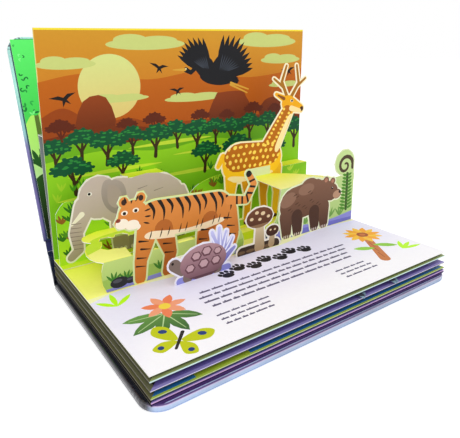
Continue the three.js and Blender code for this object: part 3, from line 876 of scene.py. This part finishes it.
def print_back_layer(settings):
    """Meadow and elephant."""
    rng = random.Random(3)
    end = PAGE_HALF - 3
    line = [(-PAGE_HALF, 42), (-118, 50), (-108, 47), (-96, 34), (-66, 28), (-22, 33), (-4, 44), (20, 49),
            (46, 44), (70, 46), (82, 45.5), (end, 45.5)]
    body = outlines(ELEPHANT)
    sheet = Print(ground(line), *body)
    near, far = ink("#B6E82A"), tuple(settings.meadow)
    sheet.lay([rectangle(-PAGE_HALF, end, 0, 64)], lambda p: blend(near, far, p[1] / 40))
    spots = ((rng.uniform(-124, end), rng.uniform(2, 44)) for _ in range(70))
    tufts(sheet, rng, spots, (5, 10), 1.8, (-38, -10, 18, 42), ["#2F6E1A", "#4C8A1E", "#B9DC3A", "#8A5A1E"])
    sheet.lay(outlines(ELEPHANT, MARGIN), "#EFE9E2")
    hide = sheet.lay(body, fade("#A8988A", "#C8B8B0", 4, 56))
    legs = outlines(upright_legs((-63, -25), 26, 7, 0, 6.5))
    sheet.lay(legs, fade("#988A80", "#B2A49C", 2, 30), hide)
    sheet.lay([smooth([(-80, 20), (-50, 13), (-24, 20), (-50, 24)])], "#A89A90", hide)
    ear = sheet.lay([smooth([(-86, 62), (-73, 58), (-70, 44), (-78, 33), (-87, 40), (-90, 52)])],
                    fade("#968A84", "#B2A49E", 36, 62), hide)
    sheet.lay([smooth([(-84, 57), (-76, 54), (-74, 45), (-79, 38), (-85, 44)])], "#B0A098", ear)
    details(sheet, hide, ("#F3EFE8", (-99, 53, 1.9, 1.5)), ("#1B1513", (-99.3, 53, 1.1, 1.1)),
            ("#F2EBD8", (-106, 38, 2.2, -114, 31, 0.8)))
    for i in range(7):
        y = 32 - 3.4 * i
        sheet.lay([limb(-116, y, 0.35, -107, y - 1, 0.2, steps=3)], "#7E726E", hide)
    for x in (-76, -63, -38, -25):
        sheet.lay([oval(x + dx, 2.4, 1.5, 1.8, steps=10) for dx in (-4, -0.5, 3)], "#D5CBC2", hide)
    for x0, x1, y in ((-60, -52, 50), (-46, -38, 46), (-36, -30, 36)):
        sheet.lay([limb(x0, y, 0.35, x1, y + 1.4, 0.2, steps=3)], "#8A7E7A", hide)
    sheet.make("back_layer_print", standing(BACK), "block")
    for name, x0, x1, height, low in (("elephant_strip_print", -68, -36, 60.5, "#D2E81E"),
                                      ("meadow_strip_print", 88, end, 45.5, "#F0EE2E")):
        print_strip(name, x0, x1, height, BACK, 0, fade(low, "#F6F44E", -16, 0))


def print_deer_layer():
    """Spotted stag."""
    rng = random.Random(5)
    parts = outlines(STAG_COAT + STAG_LEGS)
    horn = outlines(ANTLERS)
    earth = outlines(STAG_GROUND)
    sheet = Print(*parts, *horn, *earth)
    sheet.lay(earth, "#9CC83A")
    sheet.lay(horn, "#A8701E")
    coat_area = sheet.lay(parts, fade("#F6BE1E", "#F2AE14", 20, 100))
    sheet.lay(outlines(STAG_LEGS[2:6]), "#DE9A10")
    main = sheet.lay(outlines(STAG_COAT), fade("#FFC81E", "#F0AA12", 46, 110))
    saddle = outlines([(28, 66, 14, 64, 66, 12), (62, 70, 9, 83, 102, 5.4)])
    brown = sheet.lay(saddle, "#B9690F", main)
    for x in range(14, 78, 6):
        for k, y in enumerate(range(50, 80, 6)):
            cx, cy = x + (3 if k % 2 else 0) + rng.uniform(-0.8, 0.8), y + rng.uniform(-0.7, 0.7)
            rx, ry, turn = rng.uniform(1.5, 2.2), rng.uniform(1.3, 1.8), rng.uniform(0, 90)
            sheet.lay([oval(cx, cy, rx, ry, turn, steps=9)], "#FFDA5A", brown)
    for i in range(10):
        x, y = 62 + 2.3 * i, 70 + 3.5 * i
        pair = [oval(x - 3.4, y + 2.4, 1.5, 1.3, steps=9), oval(x + 2.6, y - 1.8, 1.5, 1.3, steps=9)]
        sheet.lay(pair, "#FFDA5A", brown)
    sheet.lay([smooth([(20, 42), (40, 39), (64, 42), (66, 48), (42, 46), (20, 49)])], "#FFE9A8", main)
    sheet.lay([smooth([(86, 92), (90, 98), (84, 96), (70, 70), (74, 66)])], "#FFE9A8", main)
    details(sheet, coat_area, ("#4A2A12", *[(x, 1.6, 3.6, 2.6) for x in (22, 38, 59, 71)]))
    details(sheet, main, ("#4A2A12", (101, 102.6, 2.4, 2.2)), ("#FFE3A0", (88, 104, 2.6, 98, 101, 2)),
            ("#FFF4D8", (88.4, 111, 1.7, 1.3, -20)), ("#2A160A", (88.6, 111, 1.1, 1.1)),
            ("#8A4E1C", (79, 113.5, 1.6, 72, 117, 0.7)))
    sheet.make("stag_print", standing(DEER), "block")
    print_strip("stag_strip_print", 28, 50, 44, DEER, BACK, "#F2E43C")


def laid_back(parts, height):
    """Where a figure lay in the level strip that it was cut out of."""
    fold = at(FRONT, height)
    windows = outlines(parts, MARGIN + WINDOW_CLEARANCE)
    return [[(x, fold + h - height) for x, h in outline] for outline in windows]


def print_front_left():
    """Tiger over a low bank."""
    left, right, height = -112, -4, 22
    bank = ([(left + 1, 0)] + smooth([(left - 1.4, 6), (left - 1.9, 14), (left, height)], closed=False)
            + [(right, height), (right + 3.4, 16), (right + 4.6, 9), (right + 3, 0)])
    body = outlines(TIGER)
    sheet = Print(bank, *body)
    sheet.lay([rectangle(-120, 20, -2, 30)], fade("#A8C468", "#BFD67C", 0, 22))
    sheet.lay([ground([(-115, 9), (-80, 12), (-40, 8), (4, 12)], -2)], "#9CBC58")
    sheet.lay([ground([(-115, 2), (-70, 3.4), (-30, 2.4), (6, 3.4)], -2)], "#8484CC")
    spots = ((-106, 6), (-97, 5), (-72, 6), (-50, 5), (-24, 6))
    sheet.lay(blades(spots, 8, 1.7, (-44, -18, 10, 38)), "#3F7A2A")
    for x, y, rx in ((-102, 5, 6.5), (-94, 4.5, 4), (-53, 4, 6)):
        sheet.lay([oval(x, y, rx, rx * 0.62)], "#2A2A2E")
        sheet.lay([oval(x - rx * 0.2, y + rx * 0.2, rx * 0.5, rx * 0.22)], "#4C4C55")
    sheet.lay(outlines(TIGER, MARGIN), "#D3E2A4")
    fur = sheet.lay(body, fade("#C9762E", "#DE8C42", 4, 60))
    details(sheet, fur, ("#B5662A", (-68, 36, 7, -63, 16, 4.6), (-63, 17, 4.7, -66, 3, 4),
                         (-30, 34, 7, -37, 18, 5), (-37, 17, 4.7, -33, 3, 4)))
    sheet.lay([smooth([(-80, 31), (-50, 27), (-20, 30), (-22, 34), (-50, 32), (-78, 36)])], "#F7E2BE", fur)
    stripes = [(-78, 57, -76, 44), (-71, 58, -68, 42), (-64, 57, -62, 46), (-57, 57, -53, 40),
               (-50, 56, -48, 44), (-43, 56, -39, 40), (-36, 55, -35, 43), (-29, 55, -25, 38),
               (-22, 54, -20, 42), (-15, 50, -12, 38)]
    for x0, y0, x1, y1 in stripes:
        bend, mid = (x0 + x1) / 2 + 2.2, (y0 + y1) / 2
        band = [(x0 - 1.4, y0), (bend - 1, mid), (x1, y1), (bend + 1, mid), (x0 + 1.4, y0)]
        sheet.lay([smooth(band, steps=5)], "#1E1712", fur)
        sheet.lay([smooth([(x1 - 3.4, 30), (x1 - 2.2, 34), (x1 - 1, 37), (x1 - 1.6, 33)], steps=4)],
                  "#1E1712", fur)
    bars = [(-83, 30, 1.2), (-82, 24, 1.1), (-85, 18, 1), (-86, 12, 0.9), (-65, 24, 1), (-64, 17, 0.9),
            (-34, 27, 1.2), (-36, 20, 1), (-14, 32, 1.2), (-11, 25, 1.1), (-10, 18, 1)]
    for x, y, t in bars:
        sheet.lay([limb(x - 3.6, y + 0.8, t * 0.7, x + 3.2, y - 0.6, 0.25, steps=3)], "#1E1712", fur)
    tail = sheet.lay(outlines(TIGER_TAIL), "#DE8C42", fur)
    rings = [(-6, 45, 0, 4), (-1, 44, 0, 4), (4, 44, -1, 4), (7, 48, 4, -1), (9, 53, 4, -1), (8, 58, 4, 1)]
    for x, y, dx, dy in rings:
        sheet.lay([limb(x - dx, y - dy, 0.9, x + dx, y + dy, 0.8, steps=3)], "#1E1712", tail)
    details(sheet, tail, ("#1E1712", (5, 64.5, 3.2, 3.2)))
    details(sheet, fur, ("#FBEFD8", (-98, 46, 4.6, 3.8), (-91, 44, 5, 3.6), (-89, 42, 4, 2.6)),
            ("#FBEFD8", (-96, 53.5, 2.3, 1.7), (-88, 54, 2.3, 1.7)),
            ("#20140C", (-96, 53.2, 1.2, 1.2), (-88, 53.7, 1.2, 1.2)), ("#8A3A2A", (-100.6, 49, 1.8, 1.3)),
            ("#3A241A", (-96, 61, 1.8, 2.1), (-84, 62, 1.8, 2.1)))
    for x, y, turn in ((-91, 59, 80), (-94, 60, 110), (-88, 60, 60), (-82, 52, 10), (-82, 48, -5),
                       (-83, 44, -20)):
        sheet.lay([leaf(x, y, 5, 1.3, turn)], "#1E1712", fur)
    sheet.make("front_left_print", standing(FRONT), "block")
    fold, back = at(FRONT, height), at(BACK + CARD + SEAT, height)
    edge = smooth([(left + 16, back), (left + 3, back - 7), (left + 1.6, back - 16), (left + 4.6, back - 22),
                   (left - 2.6, back - 32), (left - 4.6, fold + 8), (left, fold)], closed=False, steps=5)
    top = Print([(right, back)] + edge + [(right, fold)])
    top.lay([rectangle(-125, 5, -90, 0)], fade("#EEFA38", "#FEFF8A", -20, -66))
    top.lay([smooth([(-118, -60), (-100, -52), (-60, -36), (-20, -38), (0, -30), (0, -20), (-60, -26),
                     (-104, -34)])], "#C8EC32")
    top.cut(laid_back(TIGER, height))
    top.make("front_left_strip_print", strip_top(height), "block")


def print_front_right():
    """Bear beside a curled fern, over a high strip."""
    left, right, height = 38, PAGE_HALF - 1, 45
    tower = right - 24
    panel = ([(16, 0)] + smooth([(21, 9), (29, 14), (35, 24), (left, height)], closed=False)
             + [(tower, height), (right, height), (right, 0)])
    body, fern = outlines(BEAR), outlines(FROND)
    sheet = Print(panel, *body, *fern)
    sheet.lay([rectangle(10, 130, -2, 75)], fade("#A9C878", "#C3DB92", 0, 60))
    sheet.lay([ground([(16, 7), (50, 9), (90, 6), (125, 9)], -2)], "#8A8AD0")
    sheet.lay([ground([(16, 3), (60, 5), (125, 3)], -2)], "#6F6FC0")
    sheet.lay(blades(((24, 6), (33, 8), (66, 8), (96, 8), (108, 7)), 10, 2, (-40, -14, 12, 36)), "#6E9C4A")
    sheet.lay(outlines(BEAR, MARGIN), "#E6EBC8")
    fur = sheet.lay(body, fade("#5A3C2C", "#7E5945", 6, 46))
    details(sheet, fur, ("#4A3024", (56, 18, 6, 57, 4, 5), (76, 18, 6, 77, 4, 5)),
            ("#8E6A55", (46, 34, 9, 6, 20), (66, 40, 9, 5, 5)), ("#B58E72", (103, 28.6, 4.8, 3.7)),
            ("#1E1410", (107, 30.4, 1.8, 1.4), (97, 35.6, 1.2, 1.2)))
    sheet.lay([oval(97.3, 36, 0.4, 0.4, steps=8)], "#F4F0E8", fur)
    details(sheet, fur, ("#B07A62", (89, 44, 1.9, 1.9), (97, 42, 1.7, 1.7)))
    for x in (45, 57, 77, 88):
        sheet.lay([leaf(x + dx, -0.4, 3.4, 1, 78) for dx in (-3, -1, 1.2, 3.4)], "#D8CBBE", fur)
    for x, y in ((50, 26), (58, 30), (66, 26), (74, 30), (62, 20), (82, 26), (72, 38), (56, 38)):
        sheet.lay([leaf(x, y, 5, 1, 200), leaf(x + 2, y - 2, 4, 0.8, 205)], "#4E3425", fur)
    coil = [(116 - 0.05 * i, 12 + 2.6 * i) for i in range(14)]
    sheet.lay([limb(a[0], a[1], 1.7, b[0], b[1], 1.69, steps=4) for a, b in zip(coil, coil[1:])], "#3C5A22")
    turns = []
    for i in range(21):
        radius, angle = 10 - 0.42 * i, 0.42 * i - 0.3
        turns.append((112 + radius * math.cos(angle), 54 + radius * math.sin(angle)))
    sheet.lay([limb(a[0], a[1], 1.9 - 0.05 * i, b[0], b[1], 1.85 - 0.05 * i, steps=4)
               for i, (a, b) in enumerate(zip(turns, turns[1:]))], "#4A3A26")
    for i in range(11):
        y = 12 + 3.2 * i
        sheet.lay([leaf(116, y, 8.5 - 0.3 * i, 2.6, 20), leaf(115, y, 9 - 0.3 * i, 2.6, 160)], "#4E8A2A")
    sheet.make("front_right_print", standing(FRONT), "block")
    fold, back = at(FRONT, height), at(DEER + CARD + SEAT, height)
    edge = smooth([(tower, fold), (tower - 5, fold + 12), (left + 40, back - 12), (left + 26, back)],
                  closed=False)
    top = Print([(left, fold)] + edge + [(left + 4, back)])
    top.lay([rectangle(30, 130, -90, -20)], fade("#EEF43A", "#FAFA9C", -34, -80))
    top.cut(laid_back(BEAR, height))
    top.make("front_right_strip_print", strip_top(height), "block")


def print_small_figures():
    """Tortoise in the grass, and toadstools."""
    shell, skin, tuft = outlines(SHELL), outlines(TORTOISE_SKIN), outlines(TUFT)
    earth = outlines(TORTOISE_GROUND)
    sheet = Print(*shell, *skin, *tuft, *earth)
    sheet.lay(earth, "#8A8AD0")
    sheet.lay(tuft, fade("#6A6AB4", "#C3C3EE", 8, 32))
    sheet.lay([leaf(-33, 10, 22, 1.4, turn) for turn in (112, 90, 74, 56, 38)], "#E6E6FA")
    sheet.lay(skin, "#7C6A62")
    dome = sheet.lay(shell, fade("#7E5A62", "#B08A90", 2, 24))
    plates = [(-58, 9, 4.4), (-53, 17, 4.6), (-44.5, 19, 4.8), (-47, 10, 5), (-37, 10, 4.6), (-35.5, 17, 3.8)]
    for x, y, r in plates:
        sheet.lay([oval(x, y, r, r * 0.86, steps=6)], "#6A464E", dome)
        sheet.lay([oval(x, y + 0.3, r * 0.72, r * 0.6, steps=6)], "#C29EA2", dome)
    sheet.lay([rectangle(-68, -26, 0, 2)], "#5E4048", dome)
    sheet.lay([oval(-71.4, 16.4, 1, 1)], "#1A1412")
    sheet.make("tortoise_print", standing(TORTOISE), "block")
    caps, stalks, soil = outlines(CAPS), outlines(STALKS), outlines(TOADSTOOL_GROUND)
    sheet = Print(*caps, *stalks, *soil)
    sheet.lay(soil, "#3A2A1E")
    sheet.lay([oval(x, 2.2, 4, 1.4) for x in (-6, 3, 20)], "#6A5236")
    sheet.lay(stalks, fade("#A58A66", "#D8C4A0", 2, 24))
    tops = sheet.lay(caps, fade("#3E2418", "#6E422A", 10, 36))
    warts = [(4, 28, 1.8), (9, 32.5, 1.9), (15, 31, 2.2), (20.5, 27.5, 1.7), (12, 26.5, 1.7), (23, 15, 1.1),
             (27.5, 14.6, 1.1)]
    sheet.lay([oval(x, y, r, r * 0.75, steps=12) for x, y, r in warts], "#E2C79C", tops)
    sheet.lay([rectangle(-2, 26, 19, 22.4)], "#8C6A4A", tops)
    sheet.make("toadstool_print", standing(TOADSTOOL), "block")


def woodland(sheet, rng, low, edge, high):
    """Bright leafy canopy above an edge, pale ground with trunks and plants below it."""
    half = PAGE_HALF
    sheet.lay([rectangle(-half, half, low, high)], fade("#D8F6D0", "#C8FF78", low + 20, edge - 20))
    for x in range(9 - int(half), int(half), 22):
        top = edge + 8
        lean = rng.uniform(-8, 8)
        fork = limb(x + lean * 0.5, (low + top) / 2, 1.6, x + lean + 9, top, 0.8)
        sheet.lay([limb(x, low + 10, 3, x + lean, top, 1.6), fork], "#6A7C3A")
    for x in range(4 - int(half), int(half), 9):
        y = rng.uniform(low + 2, low + 30)
        plant = [leaf(x, y, rng.uniform(12, 24), 3, 90 + d + rng.uniform(-8, 8))
                 for d in (-50, -24, 0, 26, 52)]
        sheet.lay(plant, rng.choice(["#4FA63C", "#7CC85A", "#2E8A4A"]))
    fringe = [(x, edge + rng.uniform(-7, 7)) for x in range(-int(half), int(half) + 1, 5)]
    canopy = sheet.lay([smooth(fringe, closed=False, steps=3) + [(half, high), (-half, high)]],
                       fade("#52E060", "#62F270", edge, high))
    for _ in range(260):
        x, y = rng.uniform(-half, half), edge + (high - edge) * rng.random() ** 1.5
        size = 2.0 + 2.4 * (high - y) / (high - edge)
        turn = rng.uniform(0, 360)
        sheet.lay([leaf(x, y, size, size * 0.4, turn), leaf(x, y, size * 0.8, size * 0.36, turn + 70)],
                  rng.choice(["#2C9A48", "#38B454", "#1F7A3C", "#8CFF94"]), canopy)


def print_pastedown():
    """Leafy wood inside the front cover, with painted shade low down: a dark green field with pale stems over
    it.
    """
    near, far = 10.5, 179.0
    sheet = Print(rectangle(-PAGE_HALF, PAGE_HALF, near, far))
    rng = random.Random(17)
    woodland(sheet, rng, near, 112, far)
    spots = ((x, rng.uniform(50, 72)) for x in range(-120, 122, 7))
    tufts(sheet, rng, spots, (12, 22), 4, (-48, -16, 16, 48), ["#3E7A2E", "#5C9A3E", "#2A5E2A"])
    # Painted shade: a dark green field with a ragged top, low down inside the cover
    painted_shade_edge = [(x, 58 + rng.uniform(-6, 6)) for x in range(-125, 126, 5)]
    sheet.lay([smooth(painted_shade_edge, closed=False, steps=3) + [(PAGE_HALF, near), (-PAGE_HALF, near)]],
              fade("#18280F", "#2E5A22", near + 10, 60))
    sheet.lay([limb(x, near + 4, 0.8, x + rng.uniform(3, 12), 54, 0.5) for x in range(-122, 120, 11)],
              "#8C7A2A")
    sheet.make("pastedown_print", inside_cover(), "front_cover")


def print_leaf_back():
    """Wood on the back of the standing leaf."""
    low = 0.5
    sheet = Print(rectangle(-PAGE_HALF, PAGE_HALF, low, PAGE_WIDTH))
    woodland(sheet, random.Random(23), low, 118, PAGE_WIDTH)
    sheet.make("leaf_back_print", standing(-LEAF, 0) @ TURNED_ROUND, "block")


def print_forest_layer():
    """Dense trees on the card between the leaf and the front cover."""
    rng = random.Random(29)
    left, right, low, high = 1 - PAGE_HALF, 60, 4, 98
    line = smooth([(right, 60), (44, 78), (22, 74), (0, 88), (-24, 84), (-50, high), (-80, high)],
                  closed=False)
    card = [(left, low), (right, low)] + line + [(left, high)]
    sheet = Print([(-x, h) for x, h in card])
    sheet.lay([rectangle(-70, 130, 0, 104)], fade("#4E9A3A", "#A8D840", 10, 96))
    for _ in range(90):
        x, y, size = rng.uniform(-right, -left), rng.uniform(20, 96), rng.uniform(4, 9)
        sheet.lay([oval(x, y, size, size * 0.6, steps=12)],
                  rng.choice(["#3E8A34", "#5CAE3C", "#86C83C", "#2C6E30"]))
    sheet.lay([limb(x, 4, 3.4, x + rng.uniform(-5, 5), 56, 1.8) for x in range(-50, 124, 17)], "#5A4A2E")
    spots = ((x, 4) for x in range(-56, 124, 8))
    tufts(sheet, rng, spots, (12, 22), 3, (-40, -14, 14, 40), ["#2C6E30", "#8CCB4A"])
    place = (Matrix.Scale(MM, 4) @ Matrix.Translation((0, GUTTER_Y + LEAF + FOREST_GAP + CARD, FLOOR_Z))
             @ Matrix.Rotation(math.pi / 2 - FOREST_LEAN, 4, "X") @ TURNED_ROUND)
    sheet.make("forest_print", place, "block")


def print_tips():
    """Tips of folded cards that peek out of the closed spreads."""
    for name, x, turn in (("tip_left", 28, 0), ("tip_right", 61, 14)):
        tip = [leaf(-3, 0, 8, 3.2, -35 + turn), leaf(0, 0, 6.6, 3, -80 + turn),
               leaf(5, 0.4, 6, 2.6, -110 + turn)]
        sheet = Print(*tip)
        # Dark blue-grey card with a painted highlight: paler towards the ends of the tips
        sheet.lay(tip, fade("#2C3A4A", "#86A6B6", -1, -6))
        sheet.lay(tip[:1], "#262C38")
        place = (Matrix.Scale(MM, 4)
                 @ Matrix.Translation((x, GUTTER_Y - PAGE_WIDTH + TIP_INSET, TIP_HEIGHT))
                 @ Matrix.Rotation(math.radians(28), 4, "X"))
        sheet.make(name, place, "block", thick=TIP_CARD)


# Operators

class BOOK_OT_finishes(Operator):
    """Makes the materials and coats the solids that stay in view."""

    bl_idname = "book.finishes"
    bl_label = "Finishes"

    def execute(self, context):
        make_print_finish()
        coat("pages", leaves_finish())
        coat("back_layer", card_finish("grey card", "#EDE8DC", "#D2F22A"))
        coat("deer_layer", card_finish("golden card", "#FBEFC8", "#F0F03C"))
        coat("front_layer_left", card_finish("orange card", "#D3E2A4", "#F6F83E"))
        coat("front_layer_right", card_finish("brown card", "#DDE6BE", "#F6F68A"))
        coat("tortoise", card_finish("mauve card", "#E6E4F2", "#F6F6E6"))
        coat("toadstools", card_finish("dark brown card", "#EDE6D8", "#F2EFE0"))
        # Painted shade: the front face of the forest card is grey, for white card in shade
        coat("forest_layer", card_finish("green card", "#8A8F96", "#9AA08C", "#6FAE4A"))
        coat("front_pastedown", card_finish("green sheet", "#5FE06A", "#5FE06A"))
        coat("front_cover", front_cover_finish())
        coat("back_cover", back_cover_finish())
        coat("spine", spine_finish())
        return {"FINISHED"}


class BOOK_OT_spread(Operator):
    """Prints the standing leaf and the page."""

    bl_idname = "book.spread"
    bl_label = "Open spread"

    def execute(self, context):
        print_leaf(context.scene.book)
        print_page()
        return {"FINISHED"}


class BOOK_OT_layers(Operator):
    """Prints the pop-up cards and their folded strips."""

    bl_idname = "book.layers"
    bl_label = "Pop-up layers"

    def execute(self, context):
        print_back_layer(context.scene.book)
        print_deer_layer()
        print_front_left()
        print_front_right()
        print_small_figures()
        return {"FINISHED"}


class BOOK_OT_case(Operator):
    """Prints the first spread, between the standing leaf and the front cover."""

    bl_idname = "book.case"
    bl_label = "Case"

    def execute(self, context):
        print_pastedown()
        print_leaf_back()
        print_forest_layer()
        print_tips()
        return {"FINISHED"}


def area_lamp(name, place, aim, size, power):
    lamp = bpy.data.lights.new(name, "AREA")
    lamp.shape = "DISK"
    lamp.size = size
    lamp.energy = power
    holder = bpy.data.objects.new(name, lamp)
    holder.location = place
    holder.rotation_euler = (Vector(aim) - Vector(place)).to_track_quat("-Z", "Y").to_euler()
    bpy.context.scene.collection.objects.link(holder)


def look(azimuth, drop, roll):
    """Rotation of a camera that looks along an azimuth from the depth axis, downwards and tilted."""
    flat = math.cos(drop)
    forward = Vector((math.sin(azimuth) * flat, math.cos(azimuth) * flat, -math.sin(drop)))
    right = forward.cross(Vector((0, 0, 1))).normalized()
    up = right.cross(forward)
    tilted_right = right * math.cos(roll) + up * math.sin(roll)
    tilted_up = up * math.cos(roll) - right * math.sin(roll)
    return Matrix((tilted_right, tilted_up, -forward)).transposed().to_4x4()


class BOOK_OT_stage(Operator):
    """Sets the floor, the soft light and the camera."""

    bl_idname = "book.stage"
    bl_label = "Stage"

    def execute(self, context):
        scene = context.scene
        stage = scene.book_stage
        bm = bmesh.new()
        bmesh.ops.create_grid(bm, x_segments=1, y_segments=1, size=6)
        f = Finish("pale floor", Base_Color=(0.9, 0.9, 0.91, 1), Roughness=0.7, Emission_Strength=0.42)
        f.feed(Emission_Color=f.mix(f.seen(), (0, 0, 0), (1, 1, 1)))
        floor = new_piece("floor", bm, f.material)
        world = bpy.data.worlds.new("soft studio")
        world.use_nodes = True
        scene.world = world
        sky = Nodes(world.node_tree)
        lit = sky.nodes["Background"]
        lit.inputs["Color"].default_value = WHITE
        lit.inputs["Strength"].default_value = stage.sky_light
        white = sky.node("ShaderNodeBackground", {}, {"Color": WHITE, "Strength": 1.0})
        both = sky.node("ShaderNodeMixShader", {}, [sky.seen(), Maths(sky, lit.outputs[0]), white])
        sky.links.new(both.socket, sky.nodes["World Output"].inputs["Surface"])
        area_lamp("key", (-0.9, -1.1, 1.5), (0, 0, 0.06), 1.4, stage.key_power)
        area_lamp("fill", (1.3, -0.9, 0.9), (0, 0, 0.06), 1.2, stage.fill_power)
        camera = bpy.data.cameras.new("photo view")
        camera.lens = stage.lens
        camera.clip_start = 0.01
        camera.shift_x, camera.shift_y = CAMERA_SHIFT
        holder = bpy.data.objects.new("photo view", camera)
        place = Vector(CAMERA_PLACE) + Vector((0, GUTTER_Y, PAGE_TOP))
        turn = look(*(math.radians(a) for a in CAMERA_TURN))
        holder.matrix_world = Matrix.Translation(place * MM) @ turn
        scene.collection.objects.link(holder)
        scene.camera = holder
        scene.view_settings.view_transform = "Standard"
        return {"FINISHED"}


class BOOK_PT_panel(Panel):
    bl_idname = "BOOK_PT_panel"
    bl_label = "Pop-up Book"
    bl_space_type = "VIEW_3D"
    bl_region_type = "UI"
    bl_category = "Pop-up Book"

    def draw(self, context):
        """Lists the steps and their settings."""
        for step in STEPS:
            self.layout.operator(step.bl_idname)
        for group in (context.scene.book, context.scene.book_stage):
            for key in group.__annotations__:
                self.layout.prop(group, key)


STEPS = (BOOK_OT_finishes, BOOK_OT_spread, BOOK_OT_layers, BOOK_OT_case, BOOK_OT_stage)
CLASSES = (BookSettings, StageSettings, *STEPS, BOOK_PT_panel)


def register():
    for cls in CLASSES:
        bpy.utils.register_class(cls)
    bpy.types.Scene.book = PointerProperty(type=BookSettings)
    bpy.types.Scene.book_stage = PointerProperty(type=StageSettings)


def unregister():
    del bpy.types.Scene.book
    del bpy.types.Scene.book_stage
    for cls in reversed(CLASSES):
        bpy.utils.unregister_class(cls)


def main():
    register()
    bpy.ops.book.finishes()
    bpy.ops.book.spread()
    bpy.ops.book.layers()
    bpy.ops.book.case()
    bpy.ops.book.stage()
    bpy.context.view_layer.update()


if __name__ == "__main__":
    main()
